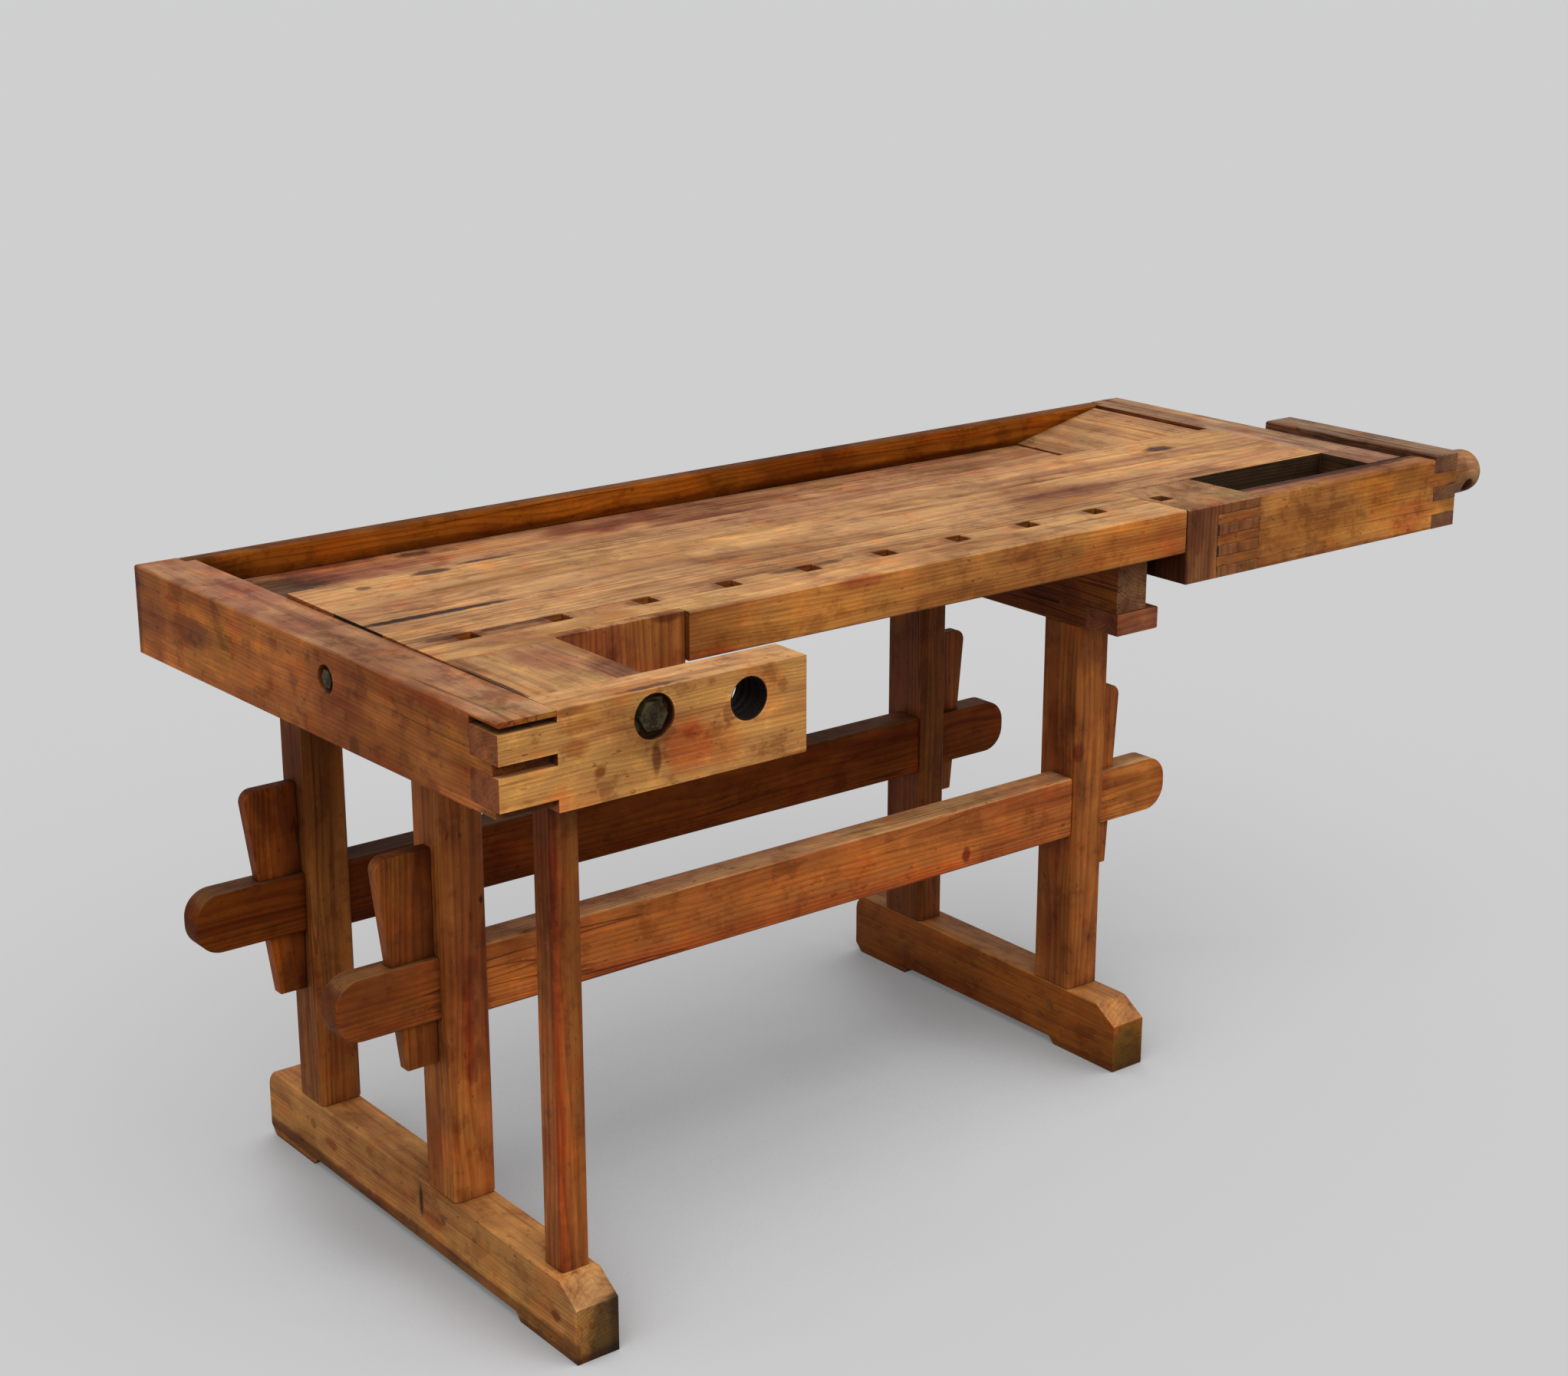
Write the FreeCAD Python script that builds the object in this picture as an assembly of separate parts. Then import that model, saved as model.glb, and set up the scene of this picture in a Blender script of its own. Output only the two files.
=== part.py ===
import FreeCAD, Part
import math
import os
from collections import namedtuple

# Joiner's bench: a slab of glued boards with a tool tray behind it, a shoulder vise at the left
# front corner, a sliding tail vise at the right front corner, and a knock-down stand of two
# trestles that two long stretchers and four tusk wedges hold together.
#
# Millimetres, +Z up. The model is drawn with x from the left end cap's outer face, y from the
# front face of the shoulder vise and z from the floor. It is moved to its origin, the middle of
# the base of its bounding box, when it is written out.

# ---------------------------------------------------------------- driving dimensions
CLEAR = 0.3                     # gap between pieces that slide in each other
FIT = 0.1                       # gap of a joint inside one body
ARRIS = 2.0                     # worn edges

# top
TOP_HEIGHT = 820.0              # floor to working surface
TOP_LENGTH = 1728.0             # over both end caps
TOP_DEPTH = 850.0               # shoulder vise face to back of the rail
SLAB_FRONT = 220.0              # front face of the slab, behind the shoulder vise face
SLAB_THICK = 60.0
FRONT_STRIP_WIDTH = 60.0
INNER_STRIP_WIDTH = 49.0
MIDDLE_BOARD_WIDTH = 113.0
REAR_BOARD_WIDTH = 114.0
TONGUE_THICK = 18.0             # tongues on the slab ends, housed in the end caps
TONGUE_LENGTH = 20.0
TONGUE_RISE = 12.0              # above the slab's underside

# dog holes
DOG_SIZE = 26.0
DOG_FIRST = 144.0
DOG_PITCH = 123.0

# end caps and back rail
CAP_THICK = 72.0
CAP_HEIGHT = 106.0
CAP_BACK_DROP = 8.0             # the left cap's top falls this much towards the back
CAP_BACK_EXTRA = 8.0            # and its underside falls this much more
RAIL_THICK = 24.0
RAIL_HEIGHT = 86.0
RAIL_TENON = 14.0

# tool tray
TRAY_FLOOR_THICK = 16.0
TRAY_REBATE = 12.0
TRAY_GROOVE = 8.0
RAMP_LENGTH = 168.0
RAMP_NOSE = 3.0
RAMP_DROP = 4.0                 # the ramp's high end stays this much below the top
RAMP_GAP = 5.0

# shoulder vise
SHOULDER_LENGTH = 400.0
SHOULDER_HEIGHT = 112.0
SHOULDER_THICK = 55.0
FILLER_WIDTH = 146.0
LINING_THICK = 14.0
LINING_SETBACK = 8.0
LINING_DROP = 46.0              # below the slab
VISE_BORE_RADIUS = 25.0
VISE_BORE_INSET = 81.0          # from the board's free end
VISE_BORE_DROP = 35.0           # below the top
# corner joint, heights below the top: (upper edge, lower edge, setback from the face)
CAP_FINGERS = ((0.0, 6.5, 0.0), (47.0, 60.0, 12.0), (97.5, CAP_HEIGHT, 8.0))
BOARD_FINGERS = ((13.5, 46.8), (60.2, 97.2))

# frame bolts
BOLT_RADIUS = 7.0
HEAD_THICK = 9.0
WASHER_THICK = 2.5
RECESS_DEPTH = 13.0
NUT_ACROSS = 24.0
NUT_THICK = 12.0
NUT_INSET = 14.0                # the bolt's end stands past its nut
CAP_RECESS_RADIUS = 17.0
CAP_HEAD_ACROSS = 20.0
CAP_BOLT_DROP = 40.0            # below the top
CAP_BOLT_LENGTH = 150.0
LEFT_BOLT_OFFSET = 5.0          # behind the glue line of the middle board
RIGHT_BOLT_OFFSET = 57.0        # in front of the slab's back
SHOULDER_RECESS_RADIUS = 26.0
SHOULDER_HEAD_ACROSS = 32.0
SHOULDER_BOLT_DROP = 31.0
SHOULDER_BOLT_INSET = 24.0      # from the filler block's right side
SHOULDER_BOLT_STOP = 2.0        # the bolt's end to the back of the inner strip

# tail vise
NOTCH_LENGTH = 499.0            # bench's right end to where its dog strip ends
VISE_PROUD = 2.0                # front face, proud of the slab
VISE_HEIGHT = 104.0
VISE_BOARD_THICK = 44.0
VISE_TRAVEL = 180.0
JAW_GAP = 1.0
JAW_LENGTH = 143.0
JAW_PLAIN = 60.0                # jaw block in front of its finger joint
JAW_DOG_OFFSET = 24.0
JAW_FINGERS = 7
END_FINGERS = 5
END_GAP = 22.0                  # end cap to end block with the jaws closed
END_BLOCK_THICK = 56.0
END_BLOCK_DEPTH = 330.0
END_BLOCK_RISE = 6.0
END_BEVEL = 6.0
NUT_CLEAR = 3.0                 # nut block to the inside of the vise board
NUT_TENON_THICK = 30.0
NUT_TENON_HEIGHT = 60.0
NUT_TENON_LENGTH = 40.0
GUIDE_RAIL_WIDTH = 57.0
GUIDE_RAIL_THICK = 22.0
GUIDE_RAIL_TONGUE = 12.0
GUIDE_RAIL_GAP = 4.0            # to the right bearer
BAR_WIDTH = 40.0
BAR_THICK = 34.0
BAR_OFFSET = 95.0               # bar's middle behind the notch's cheek
BAR_REACH = 460.0               # end block to the bar's free end
BAR_BELOW_SLAB = 3.0
KEEPER_START = 30.0             # past the bar's free end with the vise open
KEEPER_LENGTH = 44.0
KEEPER_WALL = 20.0
KEEPER_FLOOR = 10.0
BAR_PEG_RADIUS = 6.0

# tail vise screw
SCREW_RADIUS = 23.0
SCREW_OFFSET = 38.0             # axis behind the inside of the vise board
SCREW_DROP = 52.0               # axis below the top
SCREW_REACH = 176.0             # past the nut into the vise
SCREW_HEAD_LENGTH = 128.0
HEAD_RADIUS = 33.0
BEAD_RADIUS = 36.0
BEAD_LENGTH = 16.0
COVE_RADIUS = 28.0
COVE_LENGTH = 26.0
HEAD_ROUND = 11.0
BAR_HOLE_RADIUS = 11.0
BAR_HOLE_INSET = 36.0           # from the head's end
BAR_HOLE_TILT = 30.0            # degrees below the horizontal, towards the front
NECK_DEPTH = 6.5
NECK_WIDTH = 12.6
GARTER_THICK = 12.0
GARTER_WIDTH = 56.0

# stand
LEFT_TRESTLE_X = 155.0
RIGHT_TRESTLE_INSET = 42.0      # left of the tail vise's notch
FRONT_STRETCHER_INSET = 152.0   # middle of the stretcher behind the slab's front
REAR_STRETCHER_INSET = 147.0    # and in front of the rail's back
Post = namedtuple("Post", "width depth before")
POSTS = {                       # before: the front face in front of the stretcher's middle
    ("left", "front"): Post(58.0, 70.0, 36.0),
    ("left", "rear"): Post(58.0, 64.0, 34.0),
    ("right", "front"): Post(58.0, 76.0, 30.0),
    ("right", "rear"): Post(46.0, 84.0, 32.0),
}
POST_CHAMFER = 5.0
TENON_X = 20.0
TENON_Y = 38.0
FOOT_TENON = 60.0
BEARER_TENON = 60.0
FOOT_WIDTH = 58.0
FOOT_HEIGHT = 96.0
FOOT_BACK_INSET = 24.0
LEFT_FOOT_FRONT = 76.0
RIGHT_FOOT_INSET = 28.0         # behind the slab's front
FOOT_PAD = 122.0
FOOT_RELIEF = 10.0
FOOT_NOSE_LENGTH = 40.0
FOOT_NOSE_DROP = 26.0
FOOT_HEEL_RADIUS = 26.0
FOOT_HEEL_CHAMFER = 16.0
FOOT_CHAMFER = 3.0
BEARER_WIDTH = 56.0
BEARER_HEIGHT = 119.0
LEFT_BEARER_INSET = 92.0        # clear of the first dog hole
RIGHT_BEARER_INSET = 55.0
BEARER_BACK_INSET = 50.0
BEARER_BEVEL = 30.0
DOWEL_RADIUS = 10.0
DOWEL_RISE = 32.0               # into the slab
DOWEL_SINK = 30.0               # into the bearer
CLEAT_LENGTH = 60.0
CLEAT_THICK = 31.0
CLEAT_OVERHANG = 23.0
CLEAT_PROUD = 3.0
CLEAT_RISE = 2.0                # cleat's underside above the bearer's
LEG_SIZE = 38.0
LEG_INSET = 82.0                # leg's middle in front of the slab
LEG_TENON = 20.0
LEG_TENON_LENGTH = 24.0
PEG_RADIUS = 6.0
PEG_INSET = 36.0                # pegs from the shoulders of the post tenons
BEARER_PEG_INSET = 26.0

# stretchers and wedges
STRETCHER_HEIGHT = 88.0
STRETCHER_THICK = 48.0
STRETCHER_CHAMFER = 3.0
STRETCHER_Z = {"front": 330.0, "rear": 336.0}
THROUGH_TENON_THICK = 36.0
TENON_SHOULDER = 5.0            # above and below the through tenons
TENON_END_RADIUS = 34.0
# stretcher ends past the feet's outer faces: (left, right)
REACH = {"front": (139.0, 133.0), "rear": (152.0, 118.0)}
WEDGE_THICK = 18.0
WEDGE_ROUND = 16.0
DRAW_ROOM = 6.0                 # the wedge mortise starts this far inside the post
Wedge = namedtuple("Wedge", "side place top_width bottom_width rise drop")
WEDGES = (                      # rise above the stretcher, drop below it
    Wedge("left", "front", 76.0, 43.0, 132.0, 55.0),
    Wedge("left", "rear", 75.0, 38.0, 116.0, 78.0),
    Wedge("right", "front", 44.0, 27.0, 118.0, 61.0),
    Wedge("right", "rear", 56.0, 32.0, 119.0, 44.0),
)

# ---------------------------------------------------------------- derived places
X = FreeCAD.Vector(1, 0, 0)
Y = FreeCAD.Vector(0, 1, 0)
Z = FreeCAD.Vector(0, 0, 1)

SLAB_BOTTOM = TOP_HEIGHT - SLAB_THICK
SLAB_LEFT = CAP_THICK
SLAB_RIGHT = TOP_LENGTH - CAP_THICK
DOG_FRONT = SLAB_FRONT + FRONT_STRIP_WIDTH
DOG_BACK = DOG_FRONT + DOG_SIZE
NOTCH_START = TOP_LENGTH - NOTCH_LENGTH
NOTCH_CHEEK = DOG_BACK + INNER_STRIP_WIDTH
REAR_BOARD_START = NOTCH_CHEEK + MIDDLE_BOARD_WIDTH
SLAB_BACK = REAR_BOARD_START + REAR_BOARD_WIDTH
RAIL_FRONT = TOP_DEPTH - RAIL_THICK
CAP_BOTTOM = TOP_HEIGHT - CAP_HEIGHT
TRAY_FLOOR = SLAB_BOTTOM + TRAY_FLOOR_THICK
TONGUE_Z = SLAB_BOTTOM + TONGUE_RISE
FILLER_END = CAP_THICK + FILLER_WIDTH

VISE_FACE = SLAB_FRONT - VISE_PROUD
VISE_INNER = VISE_FACE + VISE_BOARD_THICK
VISE_BOTTOM = TOP_HEIGHT - VISE_HEIGHT
JAW_START = NOTCH_START + JAW_GAP
JAW_END = JAW_START + JAW_LENGTH
JAW_BACK = NOTCH_CHEEK - 2 * CLEAR
END_BLOCK_START = TOP_LENGTH + END_GAP
END_BLOCK_END = END_BLOCK_START + END_BLOCK_THICK
SCREW_Y = VISE_INNER + SCREW_OFFSET
SCREW_Z = TOP_HEIGHT - SCREW_DROP
SCREW_TIP = SLAB_RIGHT - SCREW_REACH
SCREW_END = END_BLOCK_END + SCREW_HEAD_LENGTH
GARTER_START = END_BLOCK_START + (END_BLOCK_THICK - GARTER_THICK) / 2
BAR_Y = NOTCH_CHEEK + BAR_OFFSET
BAR_START = END_BLOCK_START - BAR_REACH
BAR_TOP = SLAB_BOTTOM - BAR_BELOW_SLAB
BAR_BOTTOM = BAR_TOP - BAR_THICK
KEEPER_X = BAR_START + VISE_TRAVEL + KEEPER_START

BEARER_BOTTOM = SLAB_BOTTOM - BEARER_HEIGHT
TRESTLE_X = {"left": LEFT_TRESTLE_X, "right": NOTCH_START - RIGHT_TRESTLE_INSET}
TRESTLE_FACE = {side: x - FOOT_WIDTH / 2 for side, x in TRESTLE_X.items()}
STRETCHER_Y = {
    "front": SLAB_FRONT + FRONT_STRETCHER_INSET,
    "rear": TOP_DEPTH - REAR_STRETCHER_INSET,
}
FOOT_FRONT = {"left": LEFT_FOOT_FRONT, "right": SLAB_FRONT + RIGHT_FOOT_INSET}
FOOT_BACK = TOP_DEPTH - FOOT_BACK_INSET
BEARER_FRONT = {"left": SLAB_FRONT + LEFT_BEARER_INSET, "right": SLAB_FRONT + RIGHT_BEARER_INSET}
BEARER_BACK = TOP_DEPTH - BEARER_BACK_INSET
CLEAT_BOTTOM = BEARER_BOTTOM + CLEAT_RISE
CLEAT_TOP = CLEAT_BOTTOM + CLEAT_THICK
LEG_Y = SLAB_FRONT - LEG_INSET
STRETCHER_TOP = {place: z + STRETCHER_HEIGHT for place, z in STRETCHER_Z.items()}

LEFT_END = min(0.0, TRESTLE_FACE["left"] - max(left for left, right in REACH.values()))
ORIGIN = FreeCAD.Vector(-(LEFT_END + SCREW_END) / 2, -TOP_DEPTH / 2, 0)

Bolt = namedtuple("Bolt", "start way length recess_radius head_across")
LEFT_BOLT = Bolt(
    FreeCAD.Vector(0, NOTCH_CHEEK + LEFT_BOLT_OFFSET, TOP_HEIGHT - CAP_BOLT_DROP),
    X, CAP_BOLT_LENGTH, CAP_RECESS_RADIUS, CAP_HEAD_ACROSS,
)
RIGHT_BOLT = Bolt(
    FreeCAD.Vector(TOP_LENGTH, SLAB_BACK - RIGHT_BOLT_OFFSET, TOP_HEIGHT - CAP_BOLT_DROP),
    X * -1, CAP_BOLT_LENGTH, CAP_RECESS_RADIUS, CAP_HEAD_ACROSS,
)
SHOULDER_BOLT = Bolt(
    FreeCAD.Vector(FILLER_END - SHOULDER_BOLT_INSET, 0, TOP_HEIGHT - SHOULDER_BOLT_DROP),
    Y, NOTCH_CHEEK - SHOULDER_BOLT_STOP, SHOULDER_RECESS_RADIUS, SHOULDER_HEAD_ACROSS,
)
BOLTS = (LEFT_BOLT, RIGHT_BOLT, SHOULDER_BOLT)


# ---------------------------------------------------------------- helpers
def box(x0, x1, y0, y1, z0, z1):
    """A box between two corners."""
    return Part.makeBox(x1 - x0, y1 - y0, z1 - z0, FreeCAD.Vector(x0, y0, z0))


def round_rod(radius, start, way, length):
    """A round rod from a start point."""
    return Part.makeCylinder(radius, length, start, way)


def flat_rod(sides, across, start, way, length):
    """A rod of a regular outline, measured across its flats, from a start point."""
    radius = across / 2 / math.cos(math.pi / sides)
    up = Z if abs(way.z) < 0.5 else X
    side = way.cross(up)
    corners = []
    for k in range(sides):
        angle = 2 * math.pi * (k + 0.5) / sides
        corners.append(start + up * (radius * math.cos(angle)) + side * (radius * math.sin(angle)))
    face = Part.Face(Part.makePolygon(corners + corners[:1]))
    return face.extrude(way * length)


def prism_xz(points, y0, y1):
    """A closed x, z outline drawn out from y0 to y1."""
    corners = [FreeCAD.Vector(x, y0, z) for x, z in points]
    face = Part.Face(Part.makePolygon(corners + corners[:1]))
    return face.extrude(Y * (y1 - y0))


def prism_yz(points, x0, x1):
    """A closed y, z outline drawn out from x0 to x1."""
    corners = [FreeCAD.Vector(x0, y, z) for y, z in points]
    face = Part.Face(Part.makePolygon(corners + corners[:1]))
    return face.extrude(X * (x1 - x0))


def cut_all(shape, tools):
    """The shape less every tool."""
    for tool in tools:
        shape = shape.cut(tool)
    return shape


def fuse_all(shapes):
    """All the shapes as one solid with its seams removed."""
    shape = shapes[0]
    for other in shapes[1:]:
        shape = shape.fuse(other)
    return shape.removeSplitter()


def near(a, b):
    """Whether two lengths are the same."""
    return abs(a - b) < 1e-4


def edges_along(shape, way):
    """The shape's straight edges that run along a direction."""
    straight = [e for e in shape.Edges if e.Curve.TypeId == "Part::GeomLine"]
    spans = [(e, e.Vertexes[-1].Point.sub(e.Vertexes[0].Point)) for e in straight]
    return [e for e, span in spans if span.cross(way).Length < 1e-6]


def edges_where(shape, test):
    """The shape's edges with every corner where the test holds."""
    return [e for e in shape.Edges if all(test(v.Point) for v in e.Vertexes)]


def write(name, *solids):
    """Move the solids to the origin and write them as one node."""
    shape = solids[0] if len(solids) == 1 else Part.makeCompound(list(solids))
    moved = shape.copy()
    moved.translate(ORIGIN)
    moved.exportStep(f"parts/{name}.step")


# ---------------------------------------------------------------- bolts
def bolt_pieces(bolt):
    """A bolt with a hexagonal head, its square washer and its square nut."""
    seat = bolt.start + bolt.way * RECESS_DEPTH
    under_head = seat - bolt.way * WASHER_THICK
    head = flat_rod(6, bolt.head_across, under_head - bolt.way * HEAD_THICK, bolt.way, HEAD_THICK)
    shank_length = bolt.length - RECESS_DEPTH + WASHER_THICK
    shank = round_rod(BOLT_RADIUS, under_head, bolt.way, shank_length)
    washer_across = math.sqrt(2) * (bolt.recess_radius - 1)
    washer = flat_rod(4, washer_across, under_head, bolt.way, WASHER_THICK)
    nut_start = bolt.start + bolt.way * (bolt.length - NUT_INSET - NUT_THICK)
    nut = flat_rod(4, NUT_ACROSS, nut_start, bolt.way, NUT_THICK)
    bore = round_rod(BOLT_RADIUS + FIT, bolt.start, bolt.way, bolt.length)
    return fuse_all([head, shank]), washer.cut(bore), nut.cut(bore)


def cut_bolts(shape, bolts=BOLTS):
    """The shape with the bolts' recesses, bores and nut pockets."""
    for bolt in bolts:
        pocket_start = bolt.start + bolt.way * (bolt.length - NUT_INSET - NUT_THICK - FIT)
        shape = cut_all(shape, [
            round_rod(bolt.recess_radius, bolt.start, bolt.way, RECESS_DEPTH),
            round_rod(BOLT_RADIUS + FIT, bolt.start, bolt.way, bolt.length + FIT),
            flat_rod(4, NUT_ACROSS + 2 * FIT, pocket_start, bolt.way, NUT_THICK + 2 * FIT),
        ])
    return shape


# ---------------------------------------------------------------- top
def tongued_board(y0, y1, right):
    """A slab board with a tongue at its left end, and one at its right where it meets a cap."""
    tongue_top = TONGUE_Z + TONGUE_THICK
    pieces = [
        box(SLAB_LEFT, right, y0, y1, SLAB_BOTTOM, TOP_HEIGHT),
        box(SLAB_LEFT - TONGUE_LENGTH, SLAB_LEFT, y0, y1, TONGUE_Z, tongue_top),
    ]
    if near(right, SLAB_RIGHT):
        pieces.append(box(right, right + TONGUE_LENGTH, y0, y1, TONGUE_Z, tongue_top))
    return fuse_all(pieces)


def slab_front_strip():
    """The slab's front strip, rebated for the shoulder vise's jaw lining."""
    strip = tongued_board(SLAB_FRONT, DOG_FRONT, NOTCH_START)
    rebate_back = SLAB_FRONT + LINING_SETBACK + LINING_THICK
    rebate = box(FILLER_END, SHOULDER_LENGTH, SLAB_FRONT, rebate_back, SLAB_BOTTOM, TOP_HEIGHT)
    strip = strip.cut(rebate)
    front = edges_where(strip, lambda p: near(p.y, SLAB_FRONT) and p.x > FILLER_END)
    strip = strip.makeChamfer(ARRIS, [e for e in edges_along(strip, X) if is_in(e, front)])
    return cut_bolts(strip)


def is_in(edge, edges):
    """Whether an edge is one of some edges."""
    return any(edge.isSame(other) for other in edges)


def dog_hole_blocks():
    """The blocks that leave the square dog holes between them."""
    count = int((NOTCH_START - DOG_SIZE - DOG_FIRST) // DOG_PITCH) + 1
    edges = [SLAB_LEFT]
    for k in range(count):
        centre = DOG_FIRST + DOG_PITCH * k
        edges += [centre - DOG_SIZE / 2, centre + DOG_SIZE / 2]
    edges.append(NOTCH_START)
    spans = zip(edges[0::2], edges[1::2])
    blocks = [box(x0, x1, DOG_FRONT, DOG_BACK, SLAB_BOTTOM, TOP_HEIGHT) for x0, x1 in spans]
    return [cut_bolts(block) for block in blocks]


def slab_inner_strip():
    """The strip behind the dog holes; its right end and its back are the tail vise's notch."""
    return cut_bolts(tongued_board(DOG_BACK, NOTCH_CHEEK, NOTCH_START))


def slab_middle_board():
    """The slab's middle board, whose front edge is the cheek that the tail vise slides along."""
    board = tongued_board(NOTCH_CHEEK, REAR_BOARD_START, SLAB_RIGHT)
    return cut_bolts(cut_all(board, dowels(FIT)))


def slab_rear_board():
    """The slab's rear board, rebated underneath for the tray floor."""
    board = tongued_board(REAR_BOARD_START, SLAB_BACK, SLAB_RIGHT)
    rebate = box(SLAB_LEFT, SLAB_RIGHT, SLAB_BACK - TRAY_REBATE, SLAB_BACK, SLAB_BOTTOM, TRAY_FLOOR)
    return cut_bolts(cut_all(board.cut(rebate), dowels(FIT)))


def tongue_groove(x0, x1, y0):
    """The groove in an end cap for the slab's tongues, from y0 to the slab's back."""
    return box(x0, x1, y0, SLAB_BACK, TONGUE_Z - FIT, TONGUE_Z + TONGUE_THICK + FIT)


def rail_housing(x0, x1):
    """The housing in an end cap for one end of the back rail, open at the back."""
    rail_bottom = TOP_HEIGHT - RAIL_HEIGHT - FIT
    return box(x0 - FIT, x1 + FIT, RAIL_FRONT - FIT, TOP_DEPTH, rail_bottom, TOP_HEIGHT)


def left_end_cap():
    """The left end cap with its share of the finger joint at the front corner."""
    back_top = TOP_HEIGHT - CAP_BACK_DROP
    back_bottom = CAP_BOTTOM - CAP_BACK_DROP - CAP_BACK_EXTRA
    outline = [(0, TOP_HEIGHT), (TOP_DEPTH, back_top), (TOP_DEPTH, back_bottom), (0, CAP_BOTTOM)]
    cap = prism_yz(outline, 0, CAP_THICK)
    corner = box(0, CAP_THICK, 0, SHOULDER_THICK, back_bottom, TOP_HEIGHT)
    fingers = []
    for upper, lower, setback in CAP_FINGERS:
        top, bottom = TOP_HEIGHT - upper, TOP_HEIGHT - lower
        fingers.append(box(0, CAP_THICK, setback, SHOULDER_THICK, bottom, top).common(cap))
    cap = fuse_all([cap.cut(corner)] + fingers)
    cap = cap.makeChamfer(ARRIS, edges_where(cap, lambda p: near(p.x, 0) and p.z >= back_top))
    groove = tongue_groove(SLAB_LEFT - TONGUE_LENGTH - FIT, SLAB_LEFT, SLAB_FRONT)
    housing = rail_housing(SLAB_LEFT - RAIL_TENON, SLAB_LEFT)
    return cut_bolts(cut_all(cap, [groove, housing]))


def right_end_cap():
    """The right end cap, with a mortise for the nut block and a way for the guide bar."""
    cap = box(SLAB_RIGHT, TOP_LENGTH, NOTCH_CHEEK, TOP_DEPTH, CAP_BOTTOM, TOP_HEIGHT)
    cap = cap.makeChamfer(ARRIS, edges_where(cap, lambda p: near(p.x, TOP_LENGTH) and p.z > CAP_BOTTOM))
    return cut_bolts(cut_all(cap, [
        tongue_groove(SLAB_RIGHT, SLAB_RIGHT + TONGUE_LENGTH + FIT, NOTCH_CHEEK),
        rail_housing(SLAB_RIGHT, SLAB_RIGHT + RAIL_TENON),
        nut_tenon(FIT),
        bar_way(SLAB_RIGHT, TOP_LENGTH),
    ]))


def back_rail():
    """The rail behind the tool tray, housed in both end caps and grooved for the tray floor."""
    bottom = TOP_HEIGHT - RAIL_HEIGHT
    left_top = TOP_HEIGHT - CAP_BACK_DROP
    x0 = SLAB_LEFT - RAIL_TENON
    x1 = SLAB_RIGHT + RAIL_TENON
    outline = [(x0, left_top), (x1, TOP_HEIGHT), (x1, bottom), (x0, bottom)]
    rail = prism_xz(outline, RAIL_FRONT, TOP_DEPTH)
    rail = rail.makeChamfer(ARRIS, [e for e in rail.Edges if is_long_top(e, left_top)])
    groove = box(x0, x1, RAIL_FRONT, RAIL_FRONT + TRAY_GROOVE, SLAB_BOTTOM, TRAY_FLOOR)
    return rail.cut(groove)


def is_long_top(edge, low):
    """Whether an edge is one of the rail's two long upper edges."""
    return edge.Length > TOP_LENGTH / 2 and all(v.Point.z >= low - 1e-6 for v in edge.Vertexes)


def tray_bottom():
    """The tray floor, in the slab's rebate and the rail's groove."""
    y0 = SLAB_BACK - TRAY_REBATE
    y1 = RAIL_FRONT + TRAY_GROOVE
    return box(SLAB_LEFT, SLAB_RIGHT, y0, y1, SLAB_BOTTOM, TRAY_FLOOR)


def tray_ramp():
    """The sloping block at the right end of the tray, to sweep shavings out."""
    x1 = SLAB_RIGHT - RAMP_GAP
    x0 = x1 - RAMP_LENGTH
    top = TOP_HEIGHT - RAMP_DROP
    outline = [(x0, TRAY_FLOOR), (x1, TRAY_FLOOR), (x1, top), (x0, TRAY_FLOOR + RAMP_NOSE)]
    return prism_xz(outline, SLAB_BACK, RAIL_FRONT)


# ---------------------------------------------------------------- shoulder vise
def shoulder_front_board():
    """The vise's front board: two fingers through the end cap and the bore for the screw."""
    bottom = TOP_HEIGHT - SHOULDER_HEIGHT
    board = box(CAP_THICK, SHOULDER_LENGTH, 0, SHOULDER_THICK, bottom, TOP_HEIGHT)
    board = board.makeChamfer(ARRIS, edges_where(board, lambda p: near(p.x, SHOULDER_LENGTH)))
    fingers = [
        box(0, CAP_THICK, 0, SHOULDER_THICK, TOP_HEIGHT - lower, TOP_HEIGHT - upper)
        for upper, lower in BOARD_FINGERS
    ]
    board = fuse_all([board] + fingers)
    bore_x = SHOULDER_LENGTH - VISE_BORE_INSET
    bore_start = FreeCAD.Vector(bore_x, 0, TOP_HEIGHT - VISE_BORE_DROP)
    bore = round_rod(VISE_BORE_RADIUS, bore_start, Y, SHOULDER_THICK)
    return cut_bolts(board.cut(bore), [SHOULDER_BOLT])


def shoulder_filler_block():
    """The block between the front board and the slab, on top of the slender leg."""
    block = box(CAP_THICK, FILLER_END, SHOULDER_THICK, SLAB_FRONT, CAP_BOTTOM, TOP_HEIGHT)
    mortise = leg_tenon(CAP_BOTTOM, LEG_TENON_LENGTH, FIT)
    return cut_bolts(block.cut(mortise), [SHOULDER_BOLT])


def shoulder_jaw_lining():
    """The facing let into the slab's edge as the vise's fixed jaw."""
    y0 = SLAB_FRONT + LINING_SETBACK
    bottom = SLAB_BOTTOM - LINING_DROP
    return box(FILLER_END, SHOULDER_LENGTH, y0, y0 + LINING_THICK, bottom, TOP_HEIGHT)


def leg_tenon(z0, length, gap):
    """A tenon of the slender leg, or its mortise when the gap is above nothing."""
    half = LEG_TENON / 2 + gap
    x = LEFT_TRESTLE_X
    return box(x - half, x + half, LEG_Y - half, LEG_Y + half, z0, z0 + length + gap)


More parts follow.
